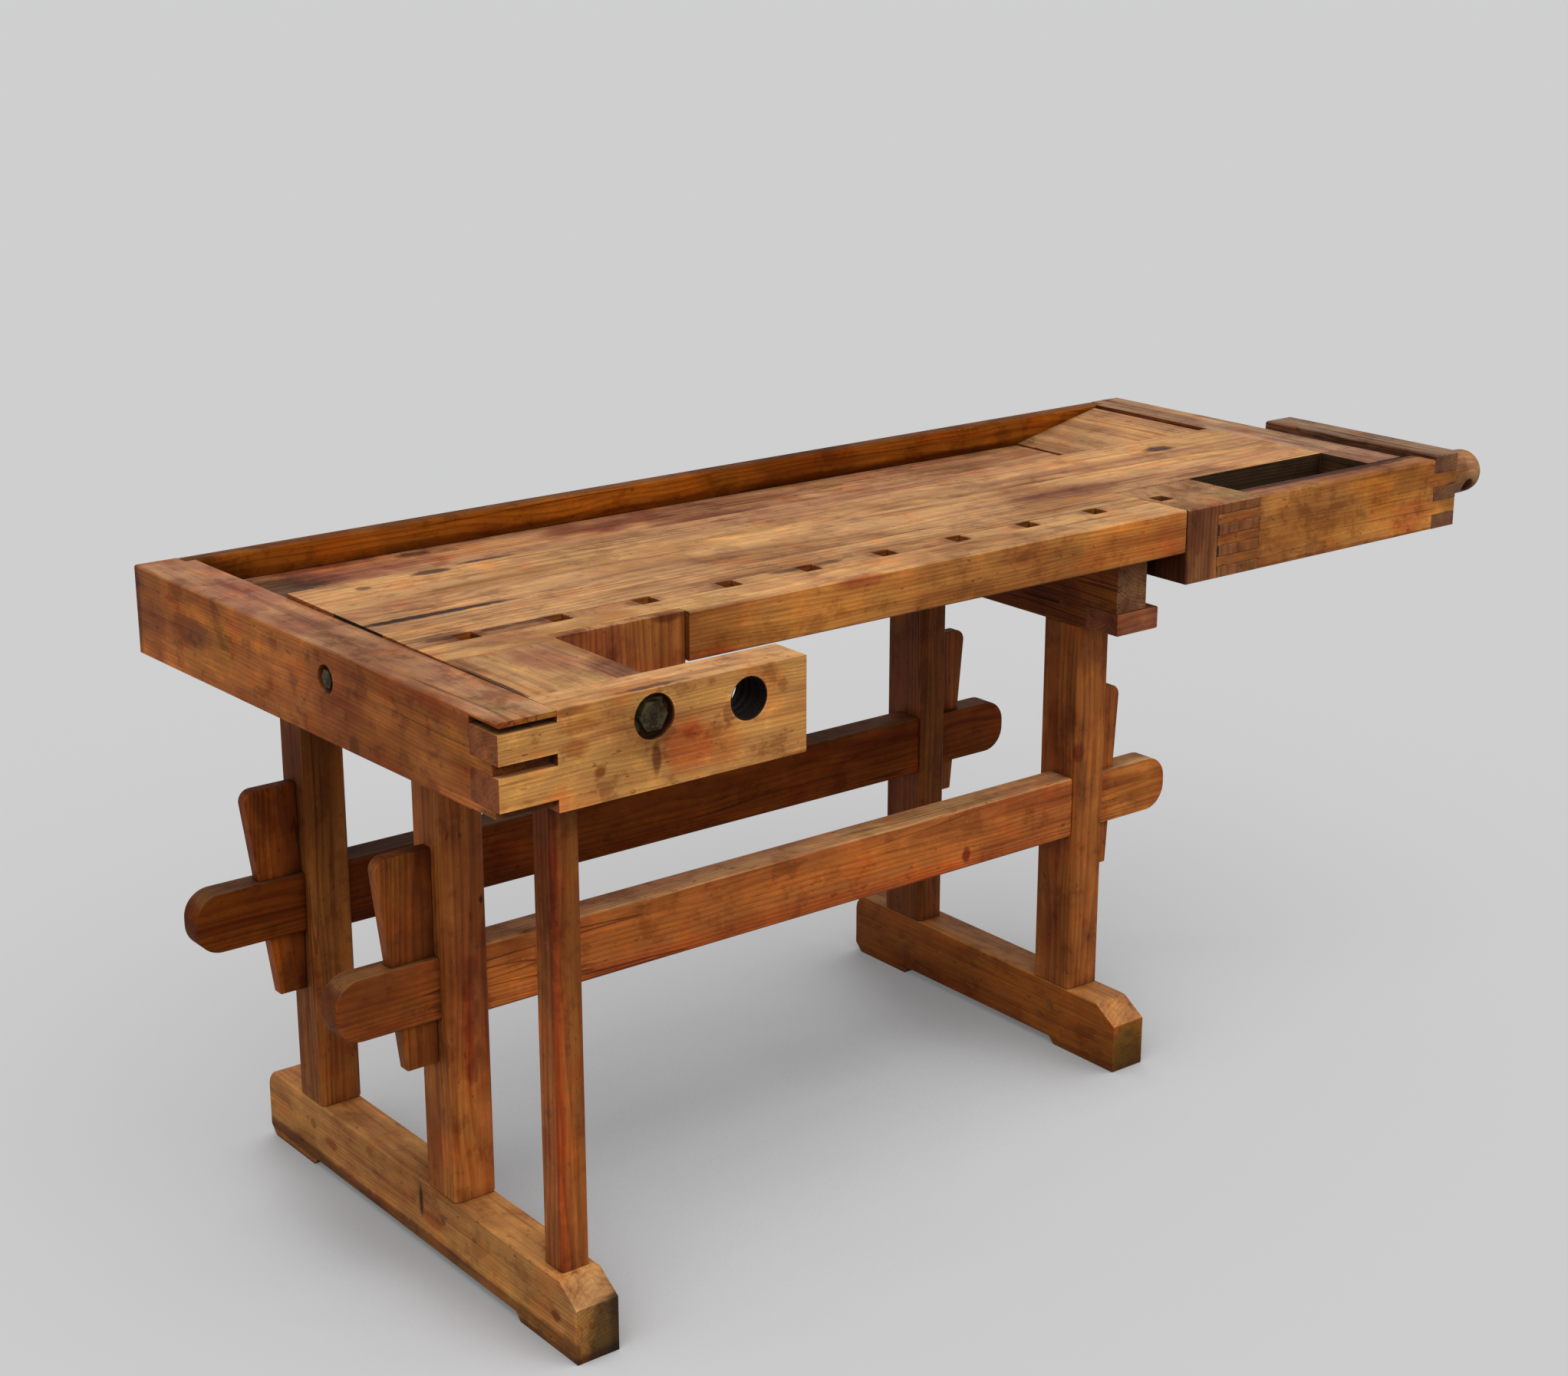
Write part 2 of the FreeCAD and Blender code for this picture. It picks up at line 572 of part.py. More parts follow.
def shoulder_leg():
    """The slender leg from the left foot to the shoulder's filler block."""
    half = LEG_SIZE / 2
    x = LEFT_TRESTLE_X
    leg = box(x - half, x + half, LEG_Y - half, LEG_Y + half, FOOT_HEIGHT, CAP_BOTTOM)
    leg = leg.makeChamfer(POST_CHAMFER / 2, edges_along(leg, Z))
    upper = leg_tenon(CAP_BOTTOM, LEG_TENON_LENGTH, 0)
    lower = leg_tenon(FOOT_HEIGHT - LEG_TENON_LENGTH, LEG_TENON_LENGTH, 0)
    return fuse_all([leg, upper, lower])


# ---------------------------------------------------------------- stand
def post_middle(side, place):
    """The x and y of a post's middle: its outline is flush with the trestle's left face."""
    size = POSTS[side, place]
    x = TRESTLE_FACE[side] + size.width / 2
    y = STRETCHER_Y[place] - size.before + size.depth / 2
    return x, y


def post_tenon(side, place, z0, length, gap):
    """A post's tenon at one end, or its mortise when the gap is above nothing."""
    x, y = post_middle(side, place)
    half_x = TENON_X / 2 + gap
    half_y = TENON_Y / 2 + gap
    return box(x - half_x, x + half_x, y - half_y, y + half_y, z0 - gap, z0 + length + gap)


def post(side, place):
    """A post with tenons into foot and bearer and a mortise for its stretcher."""
    x, y = post_middle(side, place)
    x0 = x - POSTS[side, place].width / 2
    x1 = x + POSTS[side, place].width / 2
    half_depth = POSTS[side, place].depth / 2
    shaft = box(x0, x1, y - half_depth, y + half_depth, FOOT_HEIGHT, BEARER_BOTTOM)
    shaft = shaft.makeChamfer(POST_CHAMFER, edges_along(shaft, Z))
    lower = post_tenon(side, place, FOOT_HEIGHT - FOOT_TENON, FOOT_TENON, 0)
    upper = post_tenon(side, place, BEARER_BOTTOM, BEARER_TENON, 0)
    mortise = through_tenon(place, x0, x1, FIT)
    return cut_all(fuse_all([shaft, lower, upper]), [mortise] + foot_pegs(FIT) + bearer_pegs(FIT))


def foot(side):
    """A trestle's foot: chamfered nose, rounded heel, two pads and mortises for its posts."""
    x = TRESTLE_X[side]
    front = FOOT_FRONT[side]
    outline = [
        (front, 0),
        (front, FOOT_HEIGHT - FOOT_NOSE_DROP),
        (front + FOOT_NOSE_LENGTH, FOOT_HEIGHT),
        (FOOT_BACK, FOOT_HEIGHT),
        (FOOT_BACK, FOOT_HEEL_CHAMFER),
        (FOOT_BACK - FOOT_HEEL_CHAMFER, 0),
        (FOOT_BACK - FOOT_PAD, 0),
        (FOOT_BACK - FOOT_PAD - FOOT_RELIEF, FOOT_RELIEF),
        (front + FOOT_PAD + FOOT_RELIEF, FOOT_RELIEF),
        (front + FOOT_PAD, 0),
    ]
    body = prism_yz(outline, x - FOOT_WIDTH / 2, x + FOOT_WIDTH / 2)
    heel = edges_where(body, lambda p: near(p.y, FOOT_BACK) and near(p.z, FOOT_HEIGHT))
    body = body.makeFillet(FOOT_HEEL_RADIUS, heel)
    body = body.makeChamfer(FOOT_CHAMFER, edges_where(body, lambda p: near(p.z, FOOT_HEIGHT)))
    tools = [post_tenon(side, k, FOOT_HEIGHT - FOOT_TENON, FOOT_TENON, FIT) for k in STRETCHER_Y]
    if side == "left":
        tools.append(leg_tenon(FOOT_HEIGHT - LEG_TENON_LENGTH - FIT, LEG_TENON_LENGTH + FIT, FIT))
    return cut_all(body, tools + foot_pegs(FIT))


def bearer(side):
    """A trestle's bearer under the slab, its lower back corner bevelled."""
    x0 = TRESTLE_FACE[side]
    x1 = x0 + BEARER_WIDTH
    front = BEARER_FRONT[side]
    outline = [
        (front, SLAB_BOTTOM),
        (BEARER_BACK, SLAB_BOTTOM),
        (BEARER_BACK, BEARER_BOTTOM + BEARER_BEVEL),
        (BEARER_BACK - BEARER_BEVEL, BEARER_BOTTOM),
        (front, BEARER_BOTTOM),
    ]
    body = prism_yz(outline, x0, x1)
    tools = [post_tenon(side, place, BEARER_BOTTOM, BEARER_TENON, FIT) for place in STRETCHER_Y]
    if side == "right":
        tools.append(box(x0, x1, front, front + CLEAT_LENGTH, BEARER_BOTTOM, CLEAT_TOP))
    return cut_all(body, tools + dowels(FIT) + bearer_pegs(FIT))


def bearer_cleat():
    """The cleat under the right bearer's front end, standing out to the right."""
    front = BEARER_FRONT["right"]
    x0 = TRESTLE_FACE["right"]
    x1 = x0 + BEARER_WIDTH + CLEAT_OVERHANG
    y1 = front + CLEAT_LENGTH
    cleat = box(x0, x1, front - CLEAT_PROUD, y1, CLEAT_BOTTOM, CLEAT_TOP)
    return cleat.makeChamfer(ARRIS, edges_where(cleat, lambda p: near(p.x, x1)))


def dowels(gap):
    """The dowels between the bearers and the slab's two wide boards, or their holes."""
    across = 2 * (DOWEL_RADIUS + gap)
    z0 = SLAB_BOTTOM - DOWEL_SINK - gap
    length = DOWEL_SINK + DOWEL_RISE + 2 * gap
    ys = (REAR_BOARD_START - MIDDLE_BOARD_WIDTH / 2, REAR_BOARD_START + REAR_BOARD_WIDTH / 2)
    return [
        flat_rod(8, across, FreeCAD.Vector(x, y, z0), Z, length)
        for x in TRESTLE_X.values()
        for y in ys
    ]


def pegs(width, z, gap):
    """Eight-sided pegs across every post's tenon at one height, or their holes."""
    rods = []
    for side, place in POSTS:
        start = FreeCAD.Vector(TRESTLE_FACE[side], post_middle(side, place)[1], z)
        rods.append(flat_rod(8, 2 * (PEG_RADIUS + gap), start, X, width))
    return rods


def foot_pegs(gap):
    """The pegs through the feet, or their holes."""
    return pegs(FOOT_WIDTH, FOOT_HEIGHT - PEG_INSET, gap)


def bearer_pegs(gap):
    """The pegs through the bearers, or their holes."""
    return pegs(BEARER_WIDTH, BEARER_BOTTOM + BEARER_PEG_INSET, gap)


# ---------------------------------------------------------------- stretchers and wedges
def outer_face(side, place):
    """The x of a post's outer face, and the way out from it."""
    if side == "left":
        return TRESTLE_FACE[side], -1
    return TRESTLE_FACE[side] + POSTS[side, place].width, 1


def through_tenon(place, x0, x1, gap):
    """A stretcher's through tenon, or its mortise when the gap is above nothing."""
    y = STRETCHER_Y[place]
    half = THROUGH_TENON_THICK / 2 + gap
    bottom = STRETCHER_Z[place] + TENON_SHOULDER - gap
    top = STRETCHER_TOP[place] - TENON_SHOULDER + gap
    return box(x0, x1, y - half, y + half, bottom, top)


def wedge_ends(wedge):
    """The heights of a wedge's two ends."""
    return STRETCHER_Z[wedge.place] - wedge.drop, STRETCHER_TOP[wedge.place] + wedge.rise


def wedge_width(wedge, z):
    """How far a wedge's slanting edge stands from the post at a height."""
    bottom, top = wedge_ends(wedge)
    slope = (wedge.top_width - wedge.bottom_width) / (top - bottom)
    return wedge.bottom_width + slope * (z - bottom)


def tusk_wedge(wedge):
    """A tusk wedge, straight against the post, slanting and round-shouldered outside."""
    face, way = outer_face(wedge.side, wedge.place)
    bottom, top = wedge_ends(wedge)
    outline = [
        (face + way * CLEAR, bottom),
        (face + way * wedge.bottom_width, bottom),
        (face + way * wedge.top_width, top),
        (face + way * CLEAR, top),
    ]
    y = STRETCHER_Y[wedge.place]
    body = prism_xz(outline, y - WEDGE_THICK / 2, y + WEDGE_THICK / 2)
    outer_x = face + way * wedge.top_width
    shoulder = edges_where(body, lambda p: near(p.x, outer_x) and near(p.z, top))
    return body.makeFillet(WEDGE_ROUND, shoulder)


def wedge_mortise(wedge):
    """The mortise for a wedge, reaching inside the post so that the wedge can draw."""
    face, way = outer_face(wedge.side, wedge.place)
    bottom = STRETCHER_Z[wedge.place]
    top = STRETCHER_TOP[wedge.place]
    low = face + way * (wedge_width(wedge, bottom) + CLEAR)
    high = face + way * (wedge_width(wedge, top) + CLEAR)
    inner = face - way * DRAW_ROOM
    outline = [(inner, bottom), (low, bottom), (high, top), (inner, top)]
    y = STRETCHER_Y[wedge.place]
    half = WEDGE_THICK / 2 + CLEAR
    return prism_xz(outline, y - half, y + half)


def stretcher(place):
    """A stretcher: shouldered body, through tenons with rounded ends and wedge mortises."""
    left_reach, right_reach = REACH[place]
    left = TRESTLE_FACE["left"]
    right = TRESTLE_FACE["right"]
    tenon = through_tenon(place, left - left_reach, right + FOOT_WIDTH + right_reach, 0)
    tenon = tenon.makeFillet(TENON_END_RADIUS, edges_along(tenon, Y))
    y0 = STRETCHER_Y[place] - STRETCHER_THICK / 2
    y1 = STRETCHER_Y[place] + STRETCHER_THICK / 2
    shoulder = left + POSTS["left", place].width
    body = box(shoulder, right, y0, y1, STRETCHER_Z[place], STRETCHER_TOP[place])
    body = body.makeChamfer(STRETCHER_CHAMFER, edges_along(body, X))
    mortises = [wedge_mortise(wedge) for wedge in WEDGES if wedge.place == place]
    return cut_all(fuse_all([tenon, body]), mortises)


# ---------------------------------------------------------------- tail vise
def finger_sockets(count, x0, x1):
    """The front board's fingers at one joint: every second band from the bottom up."""
    step = VISE_HEIGHT / count
    return [
        box(x0, x1, VISE_FACE, VISE_INNER, VISE_BOTTOM + step * k, VISE_BOTTOM + step * (k + 1))
        for k in range(1, count, 2)
    ]


def jaw_fingers():
    """The fingers between the front board and the jaw block."""
    return finger_sockets(JAW_FINGERS, JAW_START + JAW_PLAIN, JAW_END)


def end_fingers():
    """The fingers between the front board and the end block."""
    return finger_sockets(END_FINGERS, END_BLOCK_START, END_BLOCK_END)


def end_bevel():
    """What the bevel takes off the vise's front right corner."""
    outline = [
        (END_BLOCK_END - END_BEVEL, VISE_FACE, 0),
        (END_BLOCK_END, VISE_FACE, 0),
        (END_BLOCK_END, VISE_FACE + END_BEVEL, 0),
    ]
    corners = [FreeCAD.Vector(*point) for point in outline]
    face = Part.Face(Part.makePolygon(corners + corners[:1]))
    return face.extrude(Z * (TOP_HEIGHT + END_BLOCK_RISE))


def jaw_block():
    """The sliding jaw with its dog hole, finger sockets and the groove for the guide rail."""
    block = box(JAW_START, JAW_END, VISE_FACE, JAW_BACK, VISE_BOTTOM, TOP_HEIGHT)
    block = block.makeChamfer(
        ARRIS, edges_where(block, lambda p: near(p.y, VISE_FACE) and near(p.z, TOP_HEIGHT))
    )
    x = JAW_START + JAW_DOG_OFFSET
    half = DOG_SIZE / 2
    dog_hole = box(x - half, x + half, DOG_FRONT, DOG_BACK, VISE_BOTTOM, TOP_HEIGHT)
    groove = box(
        JAW_START, JAW_END, NOTCH_CHEEK - GUIDE_RAIL_TONGUE - CLEAR, JAW_BACK,
        SLAB_BOTTOM - GUIDE_RAIL_THICK - CLEAR, SLAB_BOTTOM + CLEAR,
    )
    return cut_all(block, jaw_fingers() + [dog_hole, groove])


def vise_front_board():
    """The tail vise's front board, finger-jointed to the jaw block and the end block."""
    board = box(JAW_END, END_BLOCK_START, VISE_FACE, VISE_INNER, VISE_BOTTOM, TOP_HEIGHT)
    board = board.makeChamfer(
        ARRIS, edges_where(board, lambda p: near(p.y, VISE_FACE) and near(p.z, TOP_HEIGHT))
    )
    return fuse_all([board] + jaw_fingers() + end_fingers()).cut(end_bevel())


def end_block():
    """The tail vise's end block: finger sockets, screw bore, garter slot and bar mortise."""
    back = VISE_FACE + END_BLOCK_DEPTH
    top = TOP_HEIGHT + END_BLOCK_RISE
    block = box(END_BLOCK_START, END_BLOCK_END, VISE_FACE, back, VISE_BOTTOM, top)
    block = block.makeChamfer(ARRIS, edges_where(block, lambda p: near(p.z, top)))
    bore_start = FreeCAD.Vector(END_BLOCK_START, SCREW_Y, SCREW_Z)
    bore = round_rod(SCREW_RADIUS + CLEAR, bore_start, X, END_BLOCK_THICK)
    bar = box(
        END_BLOCK_START, END_BLOCK_END, BAR_Y - BAR_WIDTH / 2, BAR_Y + BAR_WIDTH / 2,
        BAR_BOTTOM, BAR_TOP,
    )
    return cut_all(block, end_fingers() + [end_bevel(), bore, garter_blank(), bar, bar_peg(FIT)])


def garter_blank():
    """The garter key before its half-round notch."""
    half = GARTER_WIDTH / 2
    x1 = GARTER_START + GARTER_THICK
    return box(GARTER_START, x1, SCREW_Y - half, SCREW_Y + half, VISE_BOTTOM, SCREW_Z)


def screw_garter():
    """The key that stands in the screw's neck, so that the screw draws the vise with it."""
    start = FreeCAD.Vector(GARTER_START, SCREW_Y, SCREW_Z)
    return garter_blank().cut(round_rod(SCREW_RADIUS - NECK_DEPTH + CLEAR, start, X, GARTER_THICK))


def bar_peg(gap):
    """The peg that locks the guide bar in the end block, or its hole."""
    x = END_BLOCK_START + END_BLOCK_THICK / 2
    length = BAR_TOP - VISE_BOTTOM + 2 * BAR_PEG_RADIUS
    start = FreeCAD.Vector(x, BAR_Y, VISE_BOTTOM)
    return flat_rod(8, 2 * (BAR_PEG_RADIUS + gap), start, Z, length + gap)


def guide_bar():
    """The bar that runs under the slab and keeps the vise in line."""
    half = BAR_WIDTH / 2
    bar = box(BAR_START, END_BLOCK_END, BAR_Y - half, BAR_Y + half, BAR_BOTTOM, BAR_TOP)
    return bar.cut(bar_peg(FIT))


def bar_way(x0, x1):
    """The way for the guide bar through a fixed piece."""
    half = BAR_WIDTH / 2 + CLEAR
    return box(x0, x1, BAR_Y - half, BAR_Y + half, BAR_BOTTOM - CLEAR, BAR_TOP + CLEAR)


def bar_keeper():
    """The keeper under the slab that carries the guide bar's inner end."""
    x1 = KEEPER_X + KEEPER_LENGTH
    way = BAR_WIDTH / 2 + CLEAR
    half = way + KEEPER_WALL
    bottom = BAR_BOTTOM - CLEAR - KEEPER_FLOOR
    block = box(KEEPER_X, x1, BAR_Y - half, BAR_Y + half, bottom, SLAB_BOTTOM)
    slot = box(KEEPER_X, x1, BAR_Y - way, BAR_Y + way, BAR_BOTTOM - CLEAR, SLAB_BOTTOM)
    return block.cut(slot)


def guide_rail():
    """The rail under the slab's cheek that the jaw block's groove runs on."""
    x0 = TRESTLE_FACE["right"] + BEARER_WIDTH + GUIDE_RAIL_GAP
    y0 = NOTCH_CHEEK - GUIDE_RAIL_TONGUE
    return box(x0, SLAB_RIGHT, y0, y0 + GUIDE_RAIL_WIDTH, SLAB_BOTTOM - GUIDE_RAIL_THICK, SLAB_BOTTOM)


def nut_tenon(gap):
    """The nut block's tenon into the right end cap, or its mortise."""
    x = SLAB_RIGHT + CAP_THICK / 2 + TONGUE_LENGTH / 2 - NUT_TENON_THICK / 2
    z = (CAP_BOTTOM + TOP_HEIGHT - NUT_TENON_HEIGHT) / 2
    return box(
        x - gap, x + NUT_TENON_THICK + gap, NOTCH_CHEEK, NOTCH_CHEEK + NUT_TENON_LENGTH + gap,
        z - gap, z + NUT_TENON_HEIGHT + gap,
    )


def nut_block():
    """The block that reaches into the tail vise from the end cap and is the screw's nut."""
    front = VISE_INNER + NUT_CLEAR
    block = box(SLAB_RIGHT, TOP_LENGTH, front, NOTCH_CHEEK, CAP_BOTTOM, TOP_HEIGHT)
    bore_start = FreeCAD.Vector(SLAB_RIGHT, SCREW_Y, SCREW_Z)
    bore = round_rod(SCREW_RADIUS + CLEAR, bore_start, X, CAP_THICK)
    return fuse_all([block, nut_tenon(0)]).cut(bore)


def vise_screw():
    """The wooden screw: shaft at its crest size, neck for the garter and turned head."""
    gap = (NECK_WIDTH - GARTER_THICK) / 2
    neck_start = GARTER_START - gap
    neck_end = GARTER_START + GARTER_THICK + gap
    neck = SCREW_RADIUS - NECK_DEPTH
    head = END_BLOCK_END + 1
    cove_start = head + BEAD_LENGTH
    cove_end = cove_start + COVE_LENGTH

    def at(x, radius):
        return FreeCAD.Vector(x, SCREW_Y, SCREW_Z + radius)

    round_start = at(SCREW_END - HEAD_ROUND, HEAD_RADIUS)
    lean = HEAD_ROUND * math.sqrt(0.5)
    round_middle = at(SCREW_END - HEAD_ROUND + lean, HEAD_RADIUS - HEAD_ROUND + lean)
    round_end = at(SCREW_END, HEAD_RADIUS - HEAD_ROUND)
    cove_middle = at((cove_start + cove_end) / 2, COVE_RADIUS)
    shaft = [
        at(SCREW_TIP, 0), at(SCREW_TIP, SCREW_RADIUS), at(neck_start, SCREW_RADIUS),
        at(neck_start, neck), at(neck_end, neck), at(neck_end, SCREW_RADIUS),
        at(head, SCREW_RADIUS), at(head, BEAD_RADIUS), at(cove_start, BEAD_RADIUS),
        at(cove_start, HEAD_RADIUS),
    ]
    outline = Part.Wire(
        Part.makePolygon(shaft).Edges
        + [Part.Arc(at(cove_start, HEAD_RADIUS), cove_middle, at(cove_end, HEAD_RADIUS)).toShape()]
        + [Part.makeLine(at(cove_end, HEAD_RADIUS), round_start)]
        + [Part.Arc(round_start, round_middle, round_end).toShape()]
        + Part.makePolygon([round_end, at(SCREW_END, 0), at(SCREW_TIP, 0)]).Edges
    )
    screw = Part.Face(outline).revolve(at(SCREW_TIP, 0), X, 360)
    tilt = math.radians(BAR_HOLE_TILT)
    way = FreeCAD.Vector(0, -math.cos(tilt), -math.sin(tilt))
    start = at(SCREW_END - BAR_HOLE_INSET, 0) - way * HEAD_RADIUS
    return screw.cut(round_rod(BAR_HOLE_RADIUS, start, way, 2 * HEAD_RADIUS))


# ---------------------------------------------------------------- build
def build():
    """Write every node."""
    os.makedirs("parts", exist_ok=True)
    write("slab_front_strip", slab_front_strip())
    write("dog_hole_blocks", *dog_hole_blocks())
    write("slab_inner_strip", slab_inner_strip())
    write("slab_middle_board", slab_middle_board())
    write("slab_rear_board", slab_rear_board())
    write("left_end_cap", left_end_cap())
    write("right_end_cap", right_end_cap())
    write("back_rail", back_rail())
    write("tray_bottom", tray_bottom())
    write("tray_ramp", tray_ramp())

    write("shoulder_front_board", shoulder_front_board())
    write("shoulder_filler_block", shoulder_filler_block())
    write("shoulder_jaw_lining", shoulder_jaw_lining())
    write("shoulder_leg", shoulder_leg())

    bolt_sets = [bolt_pieces(bolt) for bolt in BOLTS]
    write("frame_bolts", *[pieces[0] for pieces in bolt_sets])
    write("frame_bolt_washers", *[pieces[1] for pieces in bolt_sets])
    write("frame_bolt_nuts", *[pieces[2] for pieces in bolt_sets])

    for side in TRESTLE_X:
        write(f"{side}_foot", foot(side))
        write(f"{side}_bearer", bearer(side))
        for place in STRETCHER_Y:
            write(f"{side}_{place}_post", post(side, place))
    write("bearer_cleat", bearer_cleat())
    write("bearer_dowels", *dowels(0))
    write("foot_pins", *foot_pegs(0))
    write("bearer_pins", *bearer_pegs(0))

    for place in STRETCHER_Y:
        write(f"{place}_stretcher", stretcher(place))
    for wedge in WEDGES:
        write(f"{wedge.side}_{wedge.place}_wedge", tusk_wedge(wedge))

    write("tail_vise_jaw_block", jaw_block())
    write("tail_vise_front_board", vise_front_board())
    write("tail_vise_end_block", end_block())
    write("tail_vise_guide_bar", guide_bar())
    write("guide_bar_peg", bar_peg(0))
    write("guide_bar_keeper", bar_keeper())
    write("tail_vise_guide_rail", guide_rail())
    write("tail_vise_nut_block", nut_block())
    write("tail_vise_screw", vise_screw())
    write("tail_vise_garter", screw_garter())


build()
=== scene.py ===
import math

import bmesh
import bpy
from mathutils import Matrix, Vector


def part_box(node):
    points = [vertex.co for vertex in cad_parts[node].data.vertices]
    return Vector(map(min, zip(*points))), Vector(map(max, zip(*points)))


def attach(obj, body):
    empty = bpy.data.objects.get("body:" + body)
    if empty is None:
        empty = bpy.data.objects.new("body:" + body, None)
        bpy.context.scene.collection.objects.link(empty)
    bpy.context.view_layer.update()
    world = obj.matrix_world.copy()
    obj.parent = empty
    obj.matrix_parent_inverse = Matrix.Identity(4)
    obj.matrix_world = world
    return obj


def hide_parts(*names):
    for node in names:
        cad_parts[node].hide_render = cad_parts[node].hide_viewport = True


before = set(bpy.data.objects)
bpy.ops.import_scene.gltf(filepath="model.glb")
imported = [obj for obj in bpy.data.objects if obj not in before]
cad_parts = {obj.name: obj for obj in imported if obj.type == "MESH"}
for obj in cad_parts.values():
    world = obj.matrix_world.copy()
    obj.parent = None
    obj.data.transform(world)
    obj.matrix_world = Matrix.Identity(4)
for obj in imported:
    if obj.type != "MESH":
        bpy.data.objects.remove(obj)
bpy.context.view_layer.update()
scene = bpy.context.scene
scene.view_settings.view_transform = "Standard"

# The bench's own coordinates, in millimetres from the left end cap, the shoulder vise's face and
# the floor, are easier to read than the frame's metres. They start at ORIGIN in the frame.
ORIGIN = (-0.954, -0.425, 0.0)


def place(x, y, z):
    """A bench point in millimetres as a frame point in metres."""
    return Vector((x / 1000 + ORIGIN[0], y / 1000 + ORIGIN[1], z / 1000 + ORIGIN[2]))


def rgb(red, green, blue):
    """A screen colour, 0 to 255, as a linear one."""
    def linear(value):
        value /= 255
        return value / 12.92 if value <= 0.04045 else ((value + 0.055) / 1.055) ** 2.4
    return tuple(linear(value) for value in (red, green, blue))


def add_object(name, data):
    """A new object in the scene with the given mesh, camera or lamp."""
    item = bpy.data.objects.new(name, data)
    scene.collection.objects.link(item)
    return item


# ---------------------------------------------------------------- node helpers
class Nodes:
    """Short calls that add a node to a tree, fill its inputs and return its output."""

    def __init__(self, tree):
        self.tree = tree

    def add(self, kind, **settings):
        """A new node itself, with its settings."""
        node = self.tree.nodes.new("ShaderNode" + kind)
        for name, value in settings.items():
            setattr(node, name, value)
        return node

    def put(self, socket, value):
        """Link an output to an input, or set the input's own value."""
        if isinstance(value, bpy.types.NodeSocket):
            self.tree.links.new(value, socket)
        elif socket.type == "RGBA":
            socket.default_value = (*value[:3], 1.0)
        else:
            socket.default_value = value

    def math(self, operation, a, b=0.0):
        node = self.add("Math", operation=operation)
        self.put(node.inputs[0], a)
        self.put(node.inputs[1], b)
        return node.outputs[0]

    def vector(self, operation, a, b=(0.0, 0.0, 0.0)):
        node = self.add("VectorMath", operation=operation)
        self.put(node.inputs[0], a)
        self.put(node.inputs[1], b)
        return node.outputs["Value" if operation in ("LENGTH", "DOT_PRODUCT") else "Vector"]

    def split(self, vector):
        node = self.add("SeparateXYZ")
        self.put(node.inputs[0], vector)
        return node.outputs

    def join(self, x, y, z):
        node = self.add("CombineXYZ")
        for socket, value in zip(node.inputs, (x, y, z)):
            self.put(socket, value)
        return node.outputs[0]

    def noise(self, vector, scale, detail=2.0, roughness=0.5):
        """Soft noise from 0 to 1; scale is how often it changes in a metre along each axis."""
        node = self.add("TexNoise")
        self.put(node.inputs["Vector"], self.vector("MULTIPLY", vector, scale))
        self.put(node.inputs["Scale"], 1.0)
        self.put(node.inputs["Detail"], detail)
        self.put(node.inputs["Roughness"], roughness)
        return node.outputs[0]

    def cells(self, vector, scale):
        """Random cells: the first output is the distance to a cell's point, the second its colour."""
        node = self.add("TexVoronoi")
        self.put(node.inputs["Vector"], self.vector("MULTIPLY", vector, scale))
        self.put(node.inputs["Scale"], 1.0)
        return node.outputs

    def between(self, value, low, high, to_low=0.0, to_high=1.0):
        """The value carried from low..high over to to_low..to_high, with soft ends."""
        node = self.add("MapRange", interpolation_type="SMOOTHSTEP")
        for name, number in zip(("Value", "From Min", "From Max", "To Min", "To Max"),
                                (value, low, high, to_low, to_high)):
            self.put(node.inputs[name], number)
        return node.outputs[0]

    def mix(self, factor, a, b, blend="MIX"):
        node = self.add("Mix", data_type="RGBA", blend_type=blend, clamp_factor=True)
        self.put(node.inputs[0], factor)
        self.put(node.inputs[6], a)
        self.put(node.inputs[7], b)
        return node.outputs[2]


def new_group(name, inputs, outputs):
    """An empty node group: its helper, the values that it is given and the ones that it fills."""
    tree = bpy.data.node_groups.new(name, "ShaderNodeTree")
    kinds = {"c": "NodeSocketColor", "f": "NodeSocketFloat", "v": "NodeSocketVector"}
    for label, kind in inputs:
        tree.interface.new_socket(label, in_out="INPUT", socket_type=kinds[kind])
    for label, kind in outputs:
        tree.interface.new_socket(label, in_out="OUTPUT", socket_type=kinds[kind])
    nodes = Nodes(tree)
    source = tree.nodes.new("NodeGroupInput")
    target = tree.nodes.new("NodeGroupOutput")
    return nodes, source.outputs, target.inputs


def new_material(name):
    """A material with its node helper and its shader."""
    material = bpy.data.materials.new(name)
    material.use_nodes = True
    tree = material.node_tree
    return material, Nodes(tree), tree.nodes["Principled BSDF"]


